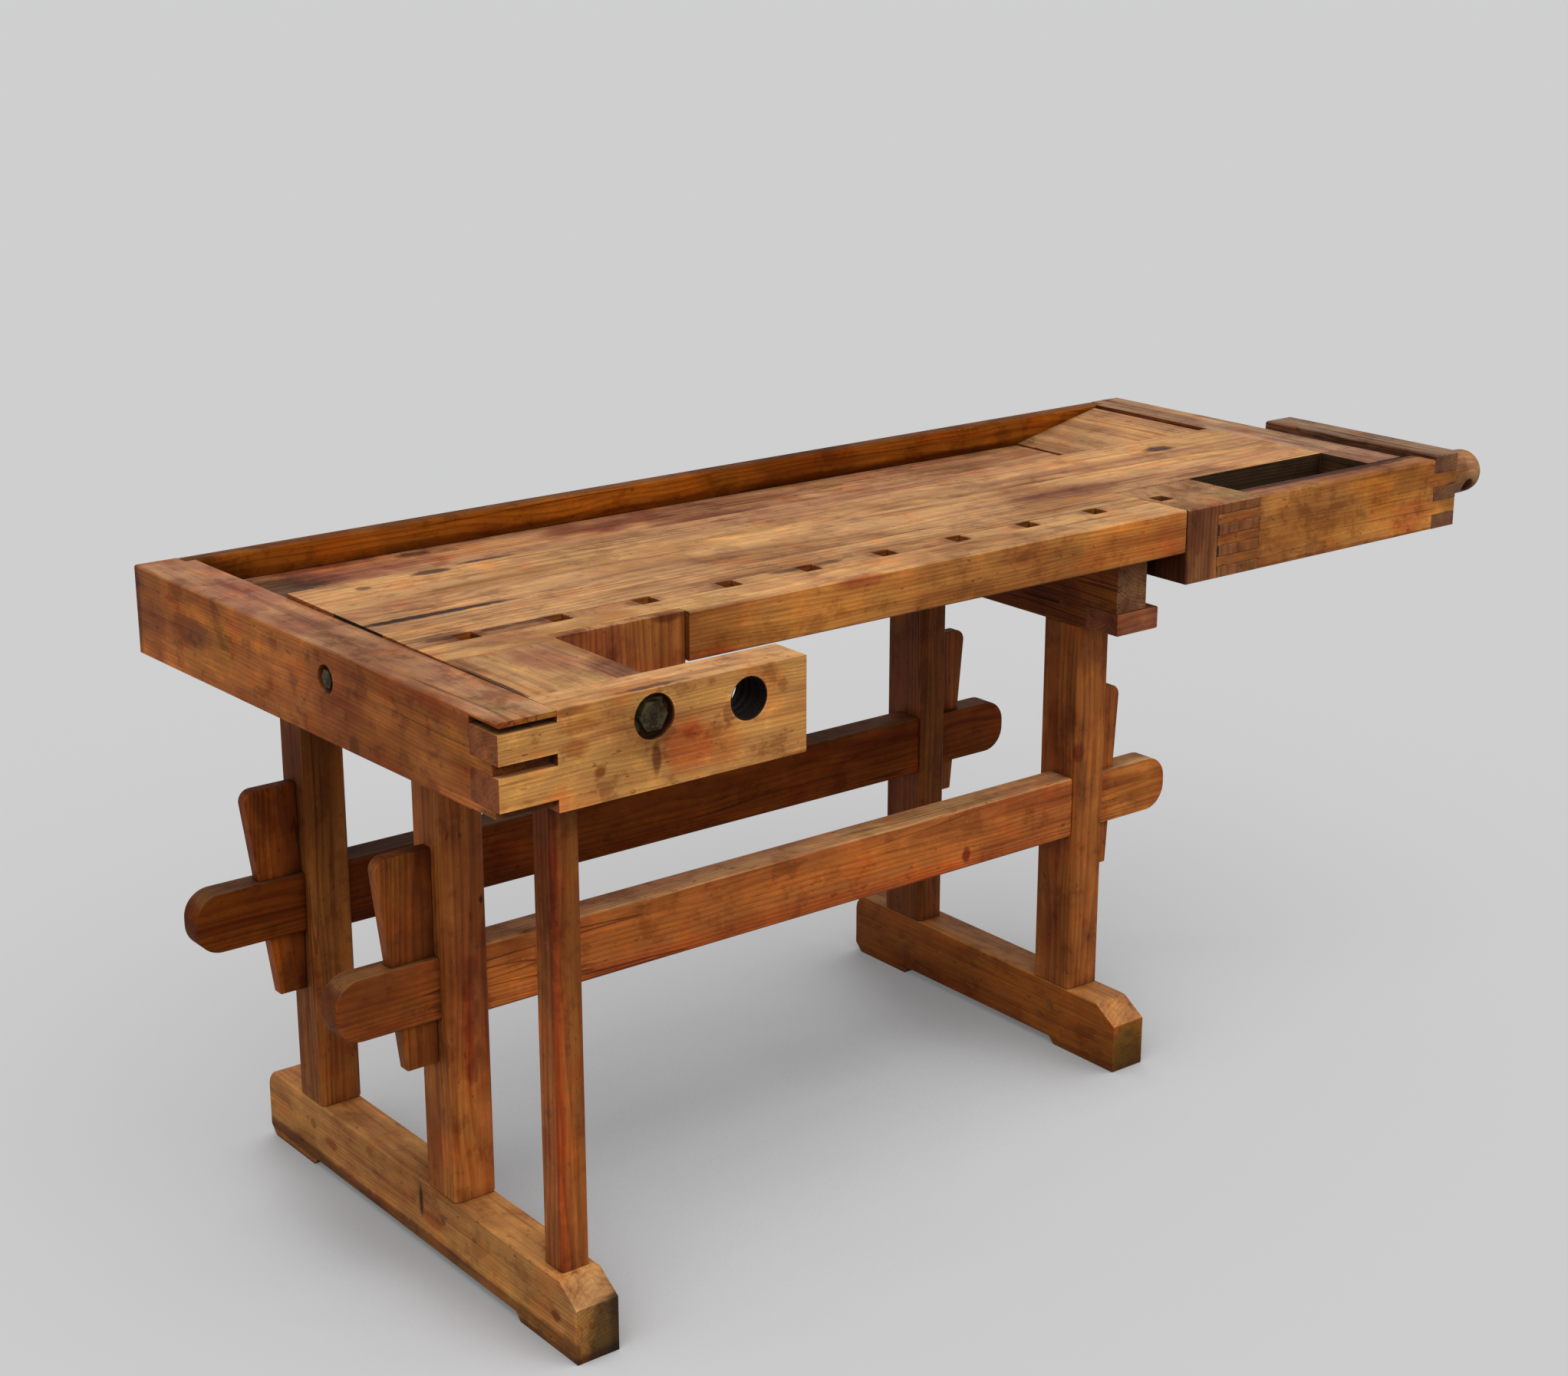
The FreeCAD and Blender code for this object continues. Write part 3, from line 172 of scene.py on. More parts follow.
# ---------------------------------------------------------------- old wood
def make_wood_group():
    """Old wood cut from a log that lies along local x, with its heart at the given y and z."""
    n, given, out = new_group(
        "old_wood",
        [("Point", "v"), ("Seed", "v"), ("Heart", "v"), ("Tint", "c"), ("End tint", "c"), ("End", "f"),
         ("Ring", "f"), ("Figure", "f"), ("Stain", "f"), ("Patches", "f"), ("Wear", "f")],
        [("Color", "c"), ("Roughness", "f"), ("Height", "f")],
    )
    point = given["Point"]
    away = n.vector("ADD", point, given["Seed"])

    def elsewhere(x, y, z):
        """The same point in another part of the log, for a noise of its own."""
        return n.vector("ADD", away, (x, y, z))

    # slow waves along the grain, then rings around the heart, pushed aside by knots, which lie in
    # about one cell out of three
    wave_y = n.math("SUBTRACT", n.noise(away, (2.6, 9.0, 9.0), 2.0), 0.5)
    wave_z = n.math("SUBTRACT", n.noise(elsewhere(3.1, 7.7, 1.3), (2.2, 7.0, 7.0), 2.0), 0.5)
    x, y, z = n.split(point)
    heart = n.split(given["Heart"])
    knots = n.cells(away, (3.4, 10.0, 10.0))
    kept = n.math("MULTIPLY", n.between(n.split(knots[1])[0], 0.62, 0.66), 0.5)
    knot = n.math("MULTIPLY", n.between(knots[0], 0.2, 0.05), kept)
    swell = n.math("MULTIPLY", n.between(knots[0], 0.55, 0.05), kept)
    ry = n.math("ADD", n.math("SUBTRACT", y, heart[1]), n.math("MULTIPLY", wave_y, 0.024))
    rz = n.math("ADD", n.math("SUBTRACT", z, heart[2]), n.math("MULTIPLY", wave_z, 0.024))
    radius = n.math("SQRT", n.math("ADD", n.math("MULTIPLY", ry, ry), n.math("MULTIPLY", rz, rz)))
    radius = n.math("ADD", radius, n.math("MULTIPLY", swell, 0.011))
    turns = n.math("DIVIDE", radius, given["Ring"])
    uneven = n.math("MULTIPLY", n.noise(n.join(radius, 0.0, 0.0), (34.0, 1.0, 1.0), 1.0), 3.0)
    part = n.math("FRACT", n.math("ADD", turns, uneven))
    late = n.math("MULTIPLY", n.between(part, 0.3, 0.82), n.between(part, 1.0, 0.88))
    color = n.mix(n.math("MULTIPLY", late, given["Figure"]), given["Tint"], (0.42, 0.30, 0.22), "MULTIPLY")

    def tone(mask, amount, tint):
        """The colour so far, multiplied with a tint where the mask lies."""
        return n.mix(n.math("MULTIPLY", mask, amount), color, tint, "MULTIPLY")

    # fibres, dark and pale streaks, and broad bands that lean to pink or to gold
    fibres = n.noise(away, (14.0, 420.0, 420.0), 3.0, 0.6)
    streaks = n.noise(away, (2.4, 70.0, 70.0), 3.0, 0.6)
    bands = n.noise(elsewhere(9.0, 1.0, 6.0), (1.6, 24.0, 24.0), 3.0, 0.6)
    color = tone(n.between(fibres, 0.35, 0.7), 0.45, (0.62, 0.52, 0.45))
    color = tone(n.between(streaks, 0.52, 0.70), 0.7, (0.58, 0.46, 0.40))
    color = tone(n.between(streaks, 0.46, 0.26), 0.55, (1.38, 1.34, 1.24))
    color = tone(n.between(bands, 0.52, 0.64), 0.6, (0.82, 0.66, 0.72))
    color = tone(n.between(bands, 0.48, 0.37), 0.8, (1.18, 1.17, 0.98))

    # blotches along the grain, and patches that stand across it
    blotch = n.noise(away, (3.2, 9.0, 9.0), 3.0, 0.55)
    patch = n.noise(elsewhere(2.0, 5.0, 3.0), (20.0, 24.0, 24.0), 4.0, 0.7)
    warm = n.noise(elsewhere(7.0, 3.0, 8.0), (15.0, 13.0, 13.0), 2.0, 0.6)
    color = tone(n.between(blotch, 0.5, 0.63), 0.8, (0.62, 0.52, 0.46))
    color = tone(n.between(blotch, 0.48, 0.35), 0.75, (1.32, 1.27, 1.14))
    patches = given["Patches"]
    color = tone(n.between(patch, 0.52, 0.64), patches, (0.56, 0.47, 0.43))
    color = tone(n.between(patch, 0.47, 0.36), patches, (1.34, 1.29, 1.18))
    color = tone(n.between(warm, 0.54, 0.66), patches, (1.08, 0.84, 0.66))

    # stains that years of work left: purple-brown, olive and rust
    stain = given["Stain"]
    cloud = n.noise(elsewhere(5.0, 2.0, 9.0), (5.0, 8.0, 8.0), 3.0, 0.6)
    rust = n.noise(elsewhere(1.0, 8.0, 4.0), (9.0, 22.0, 22.0), 2.0)
    speck = n.noise(away, (60.0, 130.0, 130.0), 2.0, 0.6)
    pits = n.between(speck, 0.66, 0.74)
    color = tone(n.between(cloud, 0.54, 0.66), n.math("MULTIPLY", stain, 0.85), (0.56, 0.38, 0.46))
    color = tone(n.between(cloud, 0.43, 0.33), n.math("MULTIPLY", stain, 0.6), (0.74, 0.86, 0.58))
    color = tone(n.between(rust, 0.6, 0.74), n.math("MULTIPLY", stain, 0.8), (0.90, 0.56, 0.40))
    color = tone(pits, 0.6, (0.35, 0.25, 0.20))

    # knots, and drying cracks
    line = n.math("ABSOLUTE", n.math("SUBTRACT", n.noise(away, (1.3, 34.0, 34.0), 1.5), 0.5))
    where = n.between(n.noise(elsewhere(4.0, 4.0, 4.0), (2.6, 9.0, 9.0), 1.0), 0.53, 0.62)
    crack = n.math("MULTIPLY", n.between(line, 0.011, 0.004), n.math("MULTIPLY", where, 0.6))
    color = tone(swell, 0.35, (0.62, 0.40, 0.28))
    color = tone(knot, 0.85, (0.33, 0.17, 0.10))
    color = tone(crack, 0.88, (0.20, 0.11, 0.07))

    # end grain drinks more oil and dirt
    color = tone(given["End"], 1.0, given["End tint"])

    # worn edges are paler, and corners and joints are darkened with painted shade
    bevel = n.add("Bevel", samples=4)
    n.put(bevel.inputs["Radius"], 0.006)
    normal = n.add("NewGeometry").outputs["Normal"]
    bent = n.math("SUBTRACT", 1.0, n.vector("DOT_PRODUCT", bevel.outputs[0], normal))
    edge = n.between(bent, 0.02, 0.16)
    rubbed = n.noise(away, (24.0, 34.0, 34.0), 3.0, 0.65)
    worn = n.math("MULTIPLY", n.between(rubbed, 0.42, 0.6), given["Wear"])
    color = tone(edge, worn, (1.5, 1.42, 1.32))
    color = tone(edge, n.between(rubbed, 0.44, 0.32, 0.0, 0.75), (0.42, 0.33, 0.28))
    # painted shade: the colour is darkened where other wood lies close by
    painted_shade = n.add("AmbientOcclusion", samples=6)
    n.put(painted_shade.inputs["Distance"], 0.032)
    color = tone(n.between(painted_shade.outputs["AO"], 0.85, 0.3), 0.85, (0.26, 0.19, 0.15))

    n.put(out["Color"], color)
    rough = n.math("ADD", n.between(blotch, 0.3, 0.7, 0.50, 0.66), n.math("MULTIPLY", crack, 0.25))
    n.put(out["Roughness"], n.math("ADD", rough, n.math("MULTIPLY", fibres, 0.12)))
    height = n.math("ADD", n.math("MULTIPLY", late, 0.25), n.math("MULTIPLY", fibres, 0.22))
    height = n.math("ADD", height, n.math("MULTIPLY", n.noise(away, (9.0, 26.0, 26.0), 3.0, 0.6), 0.9))
    height = n.math("SUBTRACT", height, n.math("MULTIPLY", pits, 0.45))
    height = n.math("SUBTRACT", height, n.math("MULTIPLY", crack, 1.6))
    height = n.math("SUBTRACT", height, n.math("MULTIPLY", n.math("MULTIPLY", edge, rubbed), 0.5))
    n.put(out["Height"], height)
    return n.tree


WOOD = make_wood_group()
WOOD_RELIEF = 0.0009             # metres of relief for a height of 1 in the wood group

# The order in which a piece's axes are taken, so that the one along its grain comes first.
GRAIN = {"x": (0, 1, 2), "y": (1, 0, 2), "z": (2, 0, 1)}


def mark(n, point, color, height, centre, size, tint, strength, depth=0.0):
    """A soft-edged mark in bench millimetres: a knot, a stain, a dent, a dark line, painted shade or a
    painted highlight.
    """
    offset = n.vector("SUBTRACT", point, tuple(place(*centre)))
    rough = n.noise(point, (60.0, 60.0, 60.0), 3.0, 0.6)
    scaled = n.vector("DIVIDE", offset, tuple(s / 1000 for s in size))
    distance = n.math("ADD", n.vector("LENGTH", scaled), n.math("MULTIPLY", rough, 0.7))
    inside = n.math("MULTIPLY", n.between(distance, 1.45, 0.85), strength)
    color = n.mix(inside, color, tint, "MULTIPLY")
    if depth:
        height = n.math("SUBTRACT", height, n.math("MULTIPLY", inside, depth))
    return color, height


def wood(name, box, grain, side, top=None, end=(0.77, 0.73, 0.69), heart=(0.05, -0.07), ring=0.0045,
         figure=0.38, stain=0.6, patches=0.6, wear=0.6, gloss=0.17, spots=()):
    """A wood material for one piece: its own place in the log, tints and marks.

    Top is the colour of faces that look up and side that of all others. End is a tint for end grain,
    and heart and ring are in metres.
    """
    material, n, shader = new_material(name)
    low, high = box
    where = n.add("TexCoord")
    xyz = n.split(n.vector("SUBTRACT", where.outputs["Object"], tuple((low + high) / 2)))
    axes = GRAIN[grain]
    facing = n.split(where.outputs["Normal"])
    up = n.between(facing[2], 0.45, 0.8)
    # a number from the piece's name, the same in every run
    seed = sum(ord(letter) * (k + 3) for k, letter in enumerate(name)) % 97
    group = n.add("Group", node_tree=WOOD)
    values = {
        "Point": n.join(*[xyz[k] for k in axes]),
        "Seed": (seed * 1.37, seed * 0.71, seed * 2.13),
        "Heart": (0.0, heart[0], heart[1]),
        "Tint": n.mix(up, side, top or side),
        "End tint": end,
        "End": n.between(n.math("ABSOLUTE", facing[axes[0]]), 0.6, 0.85),
        "Ring": ring, "Figure": figure, "Stain": stain, "Patches": patches, "Wear": wear,
    }
    for label, value in values.items():
        n.put(group.inputs[label], value)
    color = group.outputs["Color"]
    height = group.outputs["Height"]
    for spot in spots:
        color, height = mark(n, where.outputs["Object"], color, height, *spot)
    relief = n.add("Bump")
    n.put(relief.inputs["Distance"], WOOD_RELIEF)
    n.put(relief.inputs["Height"], height)
    n.put(shader.inputs["Base Color"], color)
    n.put(shader.inputs["Roughness"], group.outputs["Roughness"])
    n.put(shader.inputs["Normal"], relief.outputs[0])
    shader.inputs["Specular IOR Level"].default_value = gloss
    return material


# ---------------------------------------------------------------- materials of the pieces
DOG_WALL = rgb(208, 132, 58)     # the walls of the dog holes
UNDER = rgb(150, 90, 44)         # wood that is mostly out of sight

# Tints of marks: the colour below is multiplied with them.
SOOT = (0.14, 0.09, 0.07)
SHADE = (0.45, 0.35, 0.29)
RED = (0.95, 0.55, 0.42)
PURPLE = (0.66, 0.48, 0.54)
OLIVE = (0.42, 0.42, 0.30)

# The middles of the dog holes along the bench.
DOG_HOLES = [144 + 123 * k for k in range(9)]

# What wood() is given for each piece. Marks are (centre, size, tint, strength, depth), with centre
# and size in bench millimetres.
LOOKS = {
    "slab_front_strip": dict(
        grain="x", side=rgb(194, 128, 61), top=rgb(209, 160, 104), heart=(0.03, -0.09), stain=0.5,
        figure=0.25,
        spots=[((665, 220, 815), (46, 10, 12), (0.72, 0.44, 0.42), 0.85),
               ((1120, 220, 790), (90, 8, 40), (1.18, 0.98, 0.70), 0.7),
               ((430, 220, 762), (60, 8, 10), RED, 0.8),
               ((430, 220, 795), (70, 8, 70), (0.76, 0.68, 0.62), 0.85),
               ((1200, 220, 788), (34, 8, 40), (0.98, 0.74, 0.66), 0.85)],
    ),
    "dog_hole_blocks": dict(
        grain="x", side=DOG_WALL, top=rgb(200, 151, 100), end=(0.9, 0.9, 0.9), heart=(0.09, -0.05),
        stain=0.3,
        spots=[((x - 6, 293, 820), (30, 15, 8), SHADE, 0.8, 0.6) for x in DOG_HOLES]
        + [((x, 300, 820), (30, 9, 8), (0.25, 0.17, 0.12), 0.9) for x in (112, 190, 238, 604, 668)],
    ),
    "slab_inner_strip": dict(
        grain="x", side=DOG_WALL, top=rgb(200, 151, 100), heart=(-0.05, -0.08), stain=0.3,
        spots=[((118, 312, 820), (40, 9, 8), SOOT, 0.7, 0.6)]
        + [((x - 4, 306, 820), (20, 5, 8), SHADE, 0.7) for x in DOG_HOLES],
    ),
    "slab_middle_board": dict(
        # its sides are painted near black, as painted shade where they show inside the tail vise's opening
        grain="x", side=rgb(50, 36, 20), top=rgb(200, 151, 100), heart=(0.02, -0.10), stain=0.3,
        spots=[((150, 396, 820), (150, 9, 10), (0.07, 0.04, 0.03), 1.0, 3.0),
               ((1180, 400, 820), (120, 30, 10), PURPLE, 0.7),
               ((1420, 372, 820), (90, 12, 10), (0.5, 0.36, 0.34), 0.8)],
    ),
    "slab_rear_board": dict(
        grain="x", side=rgb(187, 119, 60), top=rgb(199, 150, 98), heart=(-0.03, -0.08), stain=0.3,
        spots=[((258, 564, 820), (34, 11, 12), SOOT, 0.95, 1.0),
               ((1485, 523, 820), (34, 16, 12), SOOT, 0.95, 1.0),
               ((154, 545, 820), (12, 9, 10), SOOT, 0.8, 0.5),
               ((345, 577, 820), (50, 6, 10), SOOT, 0.9, 0.8),
               ((980, 560, 820), (150, 14, 10), PURPLE, 0.6)],
    ),
    "left_end_cap": dict(
        grain="y", side=rgb(194, 116, 52), top=rgb(176, 127, 88), end=(0.62, 0.60, 0.52),
        heart=(0.03, -0.12), stain=0.8, patches=0.8, figure=0.2,
        spots=[((36, 640, 817), (40, 110, 10), (0.84, 0.62, 0.72), 0.8),
               ((20, 470, 818), (26, 60, 10), (0.66, 0.44, 0.46), 0.8),
               ((0, 700, 760), (8, 60, 26), (0.48, 0.38, 0.40), 0.8),
               ((0, 815, 760), (8, 60, 80), (0.60, 0.52, 0.48), 0.8),
               ((0, 850, 760), (8, 14, 130), (0.45, 0.38, 0.36), 0.9),
               ((2, 50, 716), (10, 90, 9), (1.40, 1.50, 1.60), 0.85),
               ((0, 344, 771), (6, 76, 62), (0.72, 0.58, 0.64), 0.8),
               ((0, 330, 748), (6, 16, 8), (1.25, 1.60, 1.90), 0.8),
               ((36, 26, 822), (70, 50, 14), (1.30, 1.50, 1.60), 0.85),
               ((0, 610, 760), (8, 26, 40), (0.90, 1.10, 0.50), 0.7),
               ((0, 300, 716), (8, 14, 14), OLIVE, 0.8),
               # painted shade on the set-back bottom finger at the front
               ((36, 20, 716), (60, 30, 14), (0.36, 0.36, 0.30), 0.9)],
    ),
    "right_end_cap": dict(grain="y", side=rgb(178, 109, 58), top=rgb(190, 153, 118),
                          heart=(-0.03, -0.10), stain=0.9),
    "back_rail": dict(
        grain="x", side=rgb(146, 80, 20), top=rgb(116, 72, 38), heart=(0.08, -0.02), stain=0.5,
        wear=0.3, gloss=0.03,
        spots=[((864, 826, 778), (900, 10, 13), SHADE, 0.85),
               # painted shade in the rail's left corner, low on its inner face above the tray
               ((80, 826, 785), (90, 10, 34), (0.30, 0.26, 0.26), 0.9)],
    ),
    "tray_bottom": dict(
        grain="x", side=rgb(146, 84, 38), top=rgb(185, 135, 95), heart=(0.02, -0.12), stain=0.9,
        # painted shadow on the tray's floor at its left end
        spots=[((135, 752, 776), (90, 70, 10), (0.28, 0.31, 0.31), 0.95),
               ((255, 785, 776), (130, 60, 10), PURPLE, 0.8),
               ((372, 806, 776), (34, 14, 10), SOOT, 0.85)],
    ),
    "tray_ramp": dict(grain="y", side=rgb(187, 119, 60), top=rgb(186, 140, 96), heart=(0.02, -0.12)),
    "shoulder_front_board": dict(
        grain="x", side=rgb(210, 152, 83), top=rgb(216, 163, 106), end=(0.54, 0.35, 0.40),
        heart=(-0.05, -0.06), stain=0.4, figure=0.15, patches=0.8,
        spots=[((124, 0, 742), (9, 6, 9), (0.50, 0.28, 0.18), 0.95, 0.4),
               ((100, 0, 797), (30, 6, 9), (0.60, 0.42, 0.34), 0.85),
               ((94, 0, 774), (18, 6, 13), (0.64, 0.44, 0.36), 0.8),
               ((88, 0, 816), (26, 10, 6), (0.66, 0.50, 0.42), 0.8),
               ((196, 0, 742), (7, 6, 24), (0.36, 0.22, 0.20), 0.9, 0.8),
               ((236, 0, 748), (38, 6, 34), (0.98, 0.50, 0.38), 0.85),
               ((282, 0, 742), (34, 6, 30), (1.02, 0.74, 0.54), 0.8),
               ((80, 0, 716), (70, 6, 14), (1.04, 0.82, 0.80), 0.8),
               # painted shade inside the round recess of the bolt's head
               ((194, 9, 789), (72, 8, 72), (0.20, 0.15, 0.12), 0.95),
               ((290, 0, 774), (8, 6, 14), SHADE, 0.7),
               ((36, 0, 790), (40, 20, 5), (0.8, 0.76, 0.62), 0.5)],
    ),
    "shoulder_filler_block": dict(
        grain="y", side=rgb(196, 134, 76), top=rgb(190, 143, 93), heart=(0.0, -0.08), stain=0.8,
        figure=0.25,
        spots=[((160, 160, 820), (34, 60, 10), (0.72, 0.52, 0.62), 0.85),
               ((206, 84, 820), (36, 56, 10), (0.58, 0.38, 0.46), 0.85),
               ((210, 165, 820), (12, 70, 10), (1.22, 1.24, 1.16), 0.8),
               ((73, 120, 820), (5, 90, 10), SOOT, 0.9, 1.0)],
    ),
    "shoulder_jaw_lining": dict(
        grain="z", side=rgb(176, 106, 50), top=rgb(204, 150, 98), end=(0.98, 0.98, 0.98),
        heart=(0.1, 0.06), ring=0.007, figure=0.5,
        spots=[((256, 228, 770), (76, 10, 90), (0.64, 0.50, 0.60), 0.85),
               ((374, 228, 818), (26, 16, 9), (0.42, 0.30, 0.20), 0.9),
               ((236, 235, 820), (40, 10, 8), (0.50, 0.36, 0.24), 0.85)],
    ),
    "shoulder_leg": dict(
        grain="z", side=rgb(170, 98, 44), top=rgb(176, 122, 66), heart=(0.02, 0.04), ring=0.005,
        figure=0.5, stain=0.3,
        # painted shadow of the front board on the top of the leg's front
        spots=[((155, 119, 705), (60, 10, 80), (0.36, 0.34, 0.32), 0.9),
               ((165, 119, 400), (12, 8, 600), (1.04, 1.22, 1.16), 0.8),
               ((139, 119, 330), (9, 8, 600), (0.86, 0.48, 0.38), 0.85)],
    ),
    "tail_vise_jaw_block": dict(
        grain="z", side=rgb(148, 96, 54), top=rgb(204, 157, 106), heart=(0.05, 0.03), stain=0.9,
        spots=[((1291, 218, 768), (3, 10, 60), SOOT, 0.95, 1.2),
               # painted shade on the jaw block's left face, under the slab
               ((1230, 250, 730), (5, 70, 60), (0.30, 0.20, 0.16), 0.95),
               ((1345, 250, 820), (36, 40, 8), (0.92, 1.08, 0.96), 0.8),
               ((1245, 218, 790), (20, 12, 40), (0.60, 0.46, 0.42), 0.7),
               ((1272, 218, 760), (12, 12, 50), (0.96, 0.96, 0.88), 0.6)],
    ),
    "tail_vise_front_board": dict(
        grain="x", side=rgb(200, 134, 66), top=rgb(172, 116, 72), heart=(0.05, -0.06),
        patches=0.7, figure=0.15,
        spots=[((1332, 218, 768), (64, 10, 130), (0.52, 0.42, 0.42), 0.95),
               ((1560, 262, 820), (360, 22, 8), (0.20, 0.15, 0.11), 0.95),
               ((1650, 218, 795), (110, 8, 50), (0.76, 0.72, 0.50), 0.8),
               ((1700, 218, 745), (50, 8, 30), (0.90, 0.60, 0.60), 0.8),
               ((1611, 218, 800), (60, 8, 20), (1.20, 1.08, 0.80), 0.8),
               ((1785, 218, 768), (24, 8, 60), (0.74, 0.74, 0.76), 0.8),
               ((1560, 218, 717), (240, 8, 7), SHADE, 0.8)],
    ),
    "tail_vise_end_block": dict(
        grain="y", side=rgb(140, 98, 70), top=rgb(144, 114, 90), heart=(0.02, -0.05), stain=0.9,
        spots=[((1770, 380, 826), (3, 160, 10), SOOT, 0.85, 1.0)],
    ),
    # its sides are painted dark brown, as painted shade inside the tail vise's opening
    "tail_vise_nut_block": dict(grain="y", side=rgb(84, 62, 38), top=rgb(178, 136, 108),
                                heart=(0.0, 0.07)),
    "tail_vise_guide_rail": dict(grain="x", side=rgb(60, 42, 24), heart=(0.04, 0.05)),
    "tail_vise_guide_bar": dict(grain="x", side=UNDER, heart=(0.04, 0.05)),
    "guide_bar_keeper": dict(grain="x", side=UNDER, heart=(0.04, 0.05)),
    "guide_bar_peg": dict(grain="z", side=rgb(150, 100, 62), heart=(0.01, 0.03)),
    "tail_vise_garter": dict(grain="z", side=UNDER, heart=(0.01, 0.05)),
    "left_foot": dict(
        grain="y", side=rgb(206, 144, 78), top=rgb(206, 146, 84), end=(0.58, 0.58, 0.48),
        heart=(0.01, -0.07), stain=0.4, wear=0.3, figure=0.2,
        spots=[((178, 76, 28), (44, 8, 70), (0.28, 0.32, 0.30), 0.95),
               ((130, 76, 40), (16, 8, 50), (1.30, 1.30, 1.50), 0.7),
               ((155, 92, 84), (70, 34, 34), (0.76, 0.86, 1.06), 0.8),
               # painted contact shadow: this mark and the ones centred at heights 2, 1 and 3 below darken
               # the foot along the floor
               ((126, 430, 17), (8, 1000, 11), (0.38, 0.33, 0.28), 0.9),
               ((126, 120, 2), (8, 130, 9), (0.40, 0.34, 0.30), 0.9),
               ((186, 76, 36), (18, 10, 90), (0.34, 0.34, 0.40), 0.9),
               ((155, 76, 1), (60, 10, 13), (0.44, 0.38, 0.34), 0.9),
               ((126, 396, 50), (8, 34, 13), (0.62, 0.42, 0.30), 0.85),
               ((126, 120, 45), (8, 12, 9), (0.45, 0.26, 0.18), 0.9, 0.4),
               ((126, 653, 50), (8, 18, 9), (0.62, 0.34, 0.24), 0.9),
               ((126, 422, 65), (8, 5, 26), SOOT, 0.95, 1.5),
               ((155, 200, 3), (50, 120, 9), (0.5, 0.44, 0.34), 0.6)],
    ),
    "right_foot": dict(
        grain="y", side=rgb(158, 90, 30), top=rgb(172, 118, 70), end=(0.74, 0.80, 0.66),
        heart=(0.02, -0.06), stain=0.4, figure=0.2,
        spots=[((1187, 248, 28), (38, 8, 46), (0.58, 0.95, 0.62), 0.85)],
    ),
    "left_bearer": dict(grain="y", side=UNDER, heart=(0.04, 0.07)),
    "right_bearer": dict(grain="y", side=rgb(160, 92, 34), end=(0.72, 1.09, 3.2), heart=(0.04, 0.07)),
    "bearer_cleat": dict(grain="x", side=rgb(160, 100, 68), heart=(0.03, 0.04), wear=0.2),
    "bearer_dowels": dict(grain="z", side=UNDER, heart=(0.01, 0.02)),
    "foot_pins": dict(grain="x", side=rgb(176, 118, 66), heart=(0.004, 0.003), ring=0.002),
    "bearer_pins": dict(grain="x", side=rgb(140, 84, 42), heart=(0.004, 0.003), ring=0.002),
    "front_stretcher": dict(
        grain="x", side=rgb(188, 108, 48), top=rgb(216, 162, 110), heart=(-0.06, 0.03), stain=0.35,
        spots=[((958, 348, 350), (9, 8, 13), (0.36, 0.15, 0.11), 0.95, 0.5),
               ((660, 348, 338), (480, 8, 16), (0.98, 0.72, 0.58), 0.7),
               ((50, 372, 380), (120, 70, 120), (0.52, 0.46, 0.34), 0.9),
               ((60, 348, 345), (130, 8, 18), (1.50, 1.24, 1.16), 0.8),
               ((1285, 354, 374), (70, 12, 70), (1.42, 1.75, 1.65), 0.85)],
    ),
    "rear_stretcher": dict(grain="x", side=rgb(126, 62, 16), top=rgb(120, 80, 46),
                           heart=(0.05, 0.04), stain=0.6, gloss=0.08),
    "left_front_post": dict(
        side=rgb(194, 118, 54),
        spots=[((155, 336, 560), (40, 8, 300), (0.78, 0.72, 0.82), 0.9),
               ((182, 336, 480), (12, 8, 260), (0.66, 0.60, 0.72), 0.8),
               ((157, 336, 340), (34, 8, 130), (0.80, 0.68, 0.74), 0.85),
               ((152, 336, 300), (7, 10, 90), (0.96, 0.50, 0.40), 0.75),
               ((176, 336, 481), (3, 6, 6), SOOT, 0.9)]
        + [((155 + 4 * (k % 2), 336, 262 + 27 * k), (11, 6, 19), (0.60, 0.44, 0.46), 0.75)
           for k in range(6)],
    ),
    "left_rear_post": dict(
        side=rgb(158, 96, 40),
        spots=[((126, 700, 560), (8, 30, 60), (0.7, 0.52, 0.46), 0.6)],
    ),
    "right_front_post": dict(
        side=rgb(172, 102, 44),
        spots=[((1161, 342, 457), (15, 12, 18), (0.50, 0.26, 0.20), 0.9, 0.5),
               ((1170, 342, 415), (10, 8, 40), OLIVE, 0.6)],
    ),
    "right_rear_post": dict(
        side=rgb(140, 80, 32),
        spots=[((1158, 713, 380), (8, 50, 200), (0.78, 0.62, 0.70), 0.7),
               ((1181, 671, 400), (30, 8, 200), (0.66, 0.70, 0.48), 0.7)],
    ),
    "left_front_wedge": dict(
        side=rgb(158, 90, 32),
        spots=[((104, 363, 424), (70, 8, 44), (0.60, 0.54, 0.50), 0.85),
               ((100, 363, 250), (70, 8, 60), (0.70, 0.66, 0.56), 0.8)],
    ),
    "left_rear_wedge": dict(
        side=rgb(166, 86, 24),
        spots=[((100, 694, 240), (70, 8, 70), (0.66, 0.70, 0.50), 0.85)],
    ),
    "right_front_wedge": dict(side=rgb(160, 90, 34)),
    "right_rear_wedge": dict(side=rgb(140, 78, 30)),
}
for name, look in LOOKS.items():
    if name.endswith("post"):
        look.update(grain="z", heart=(0.03, 0.028), ring=0.006, figure=0.45, stain=0.45)
    if name.endswith("wedge"):
        look.update(grain="z", heart=(0.03, 0.05), figure=0.5)


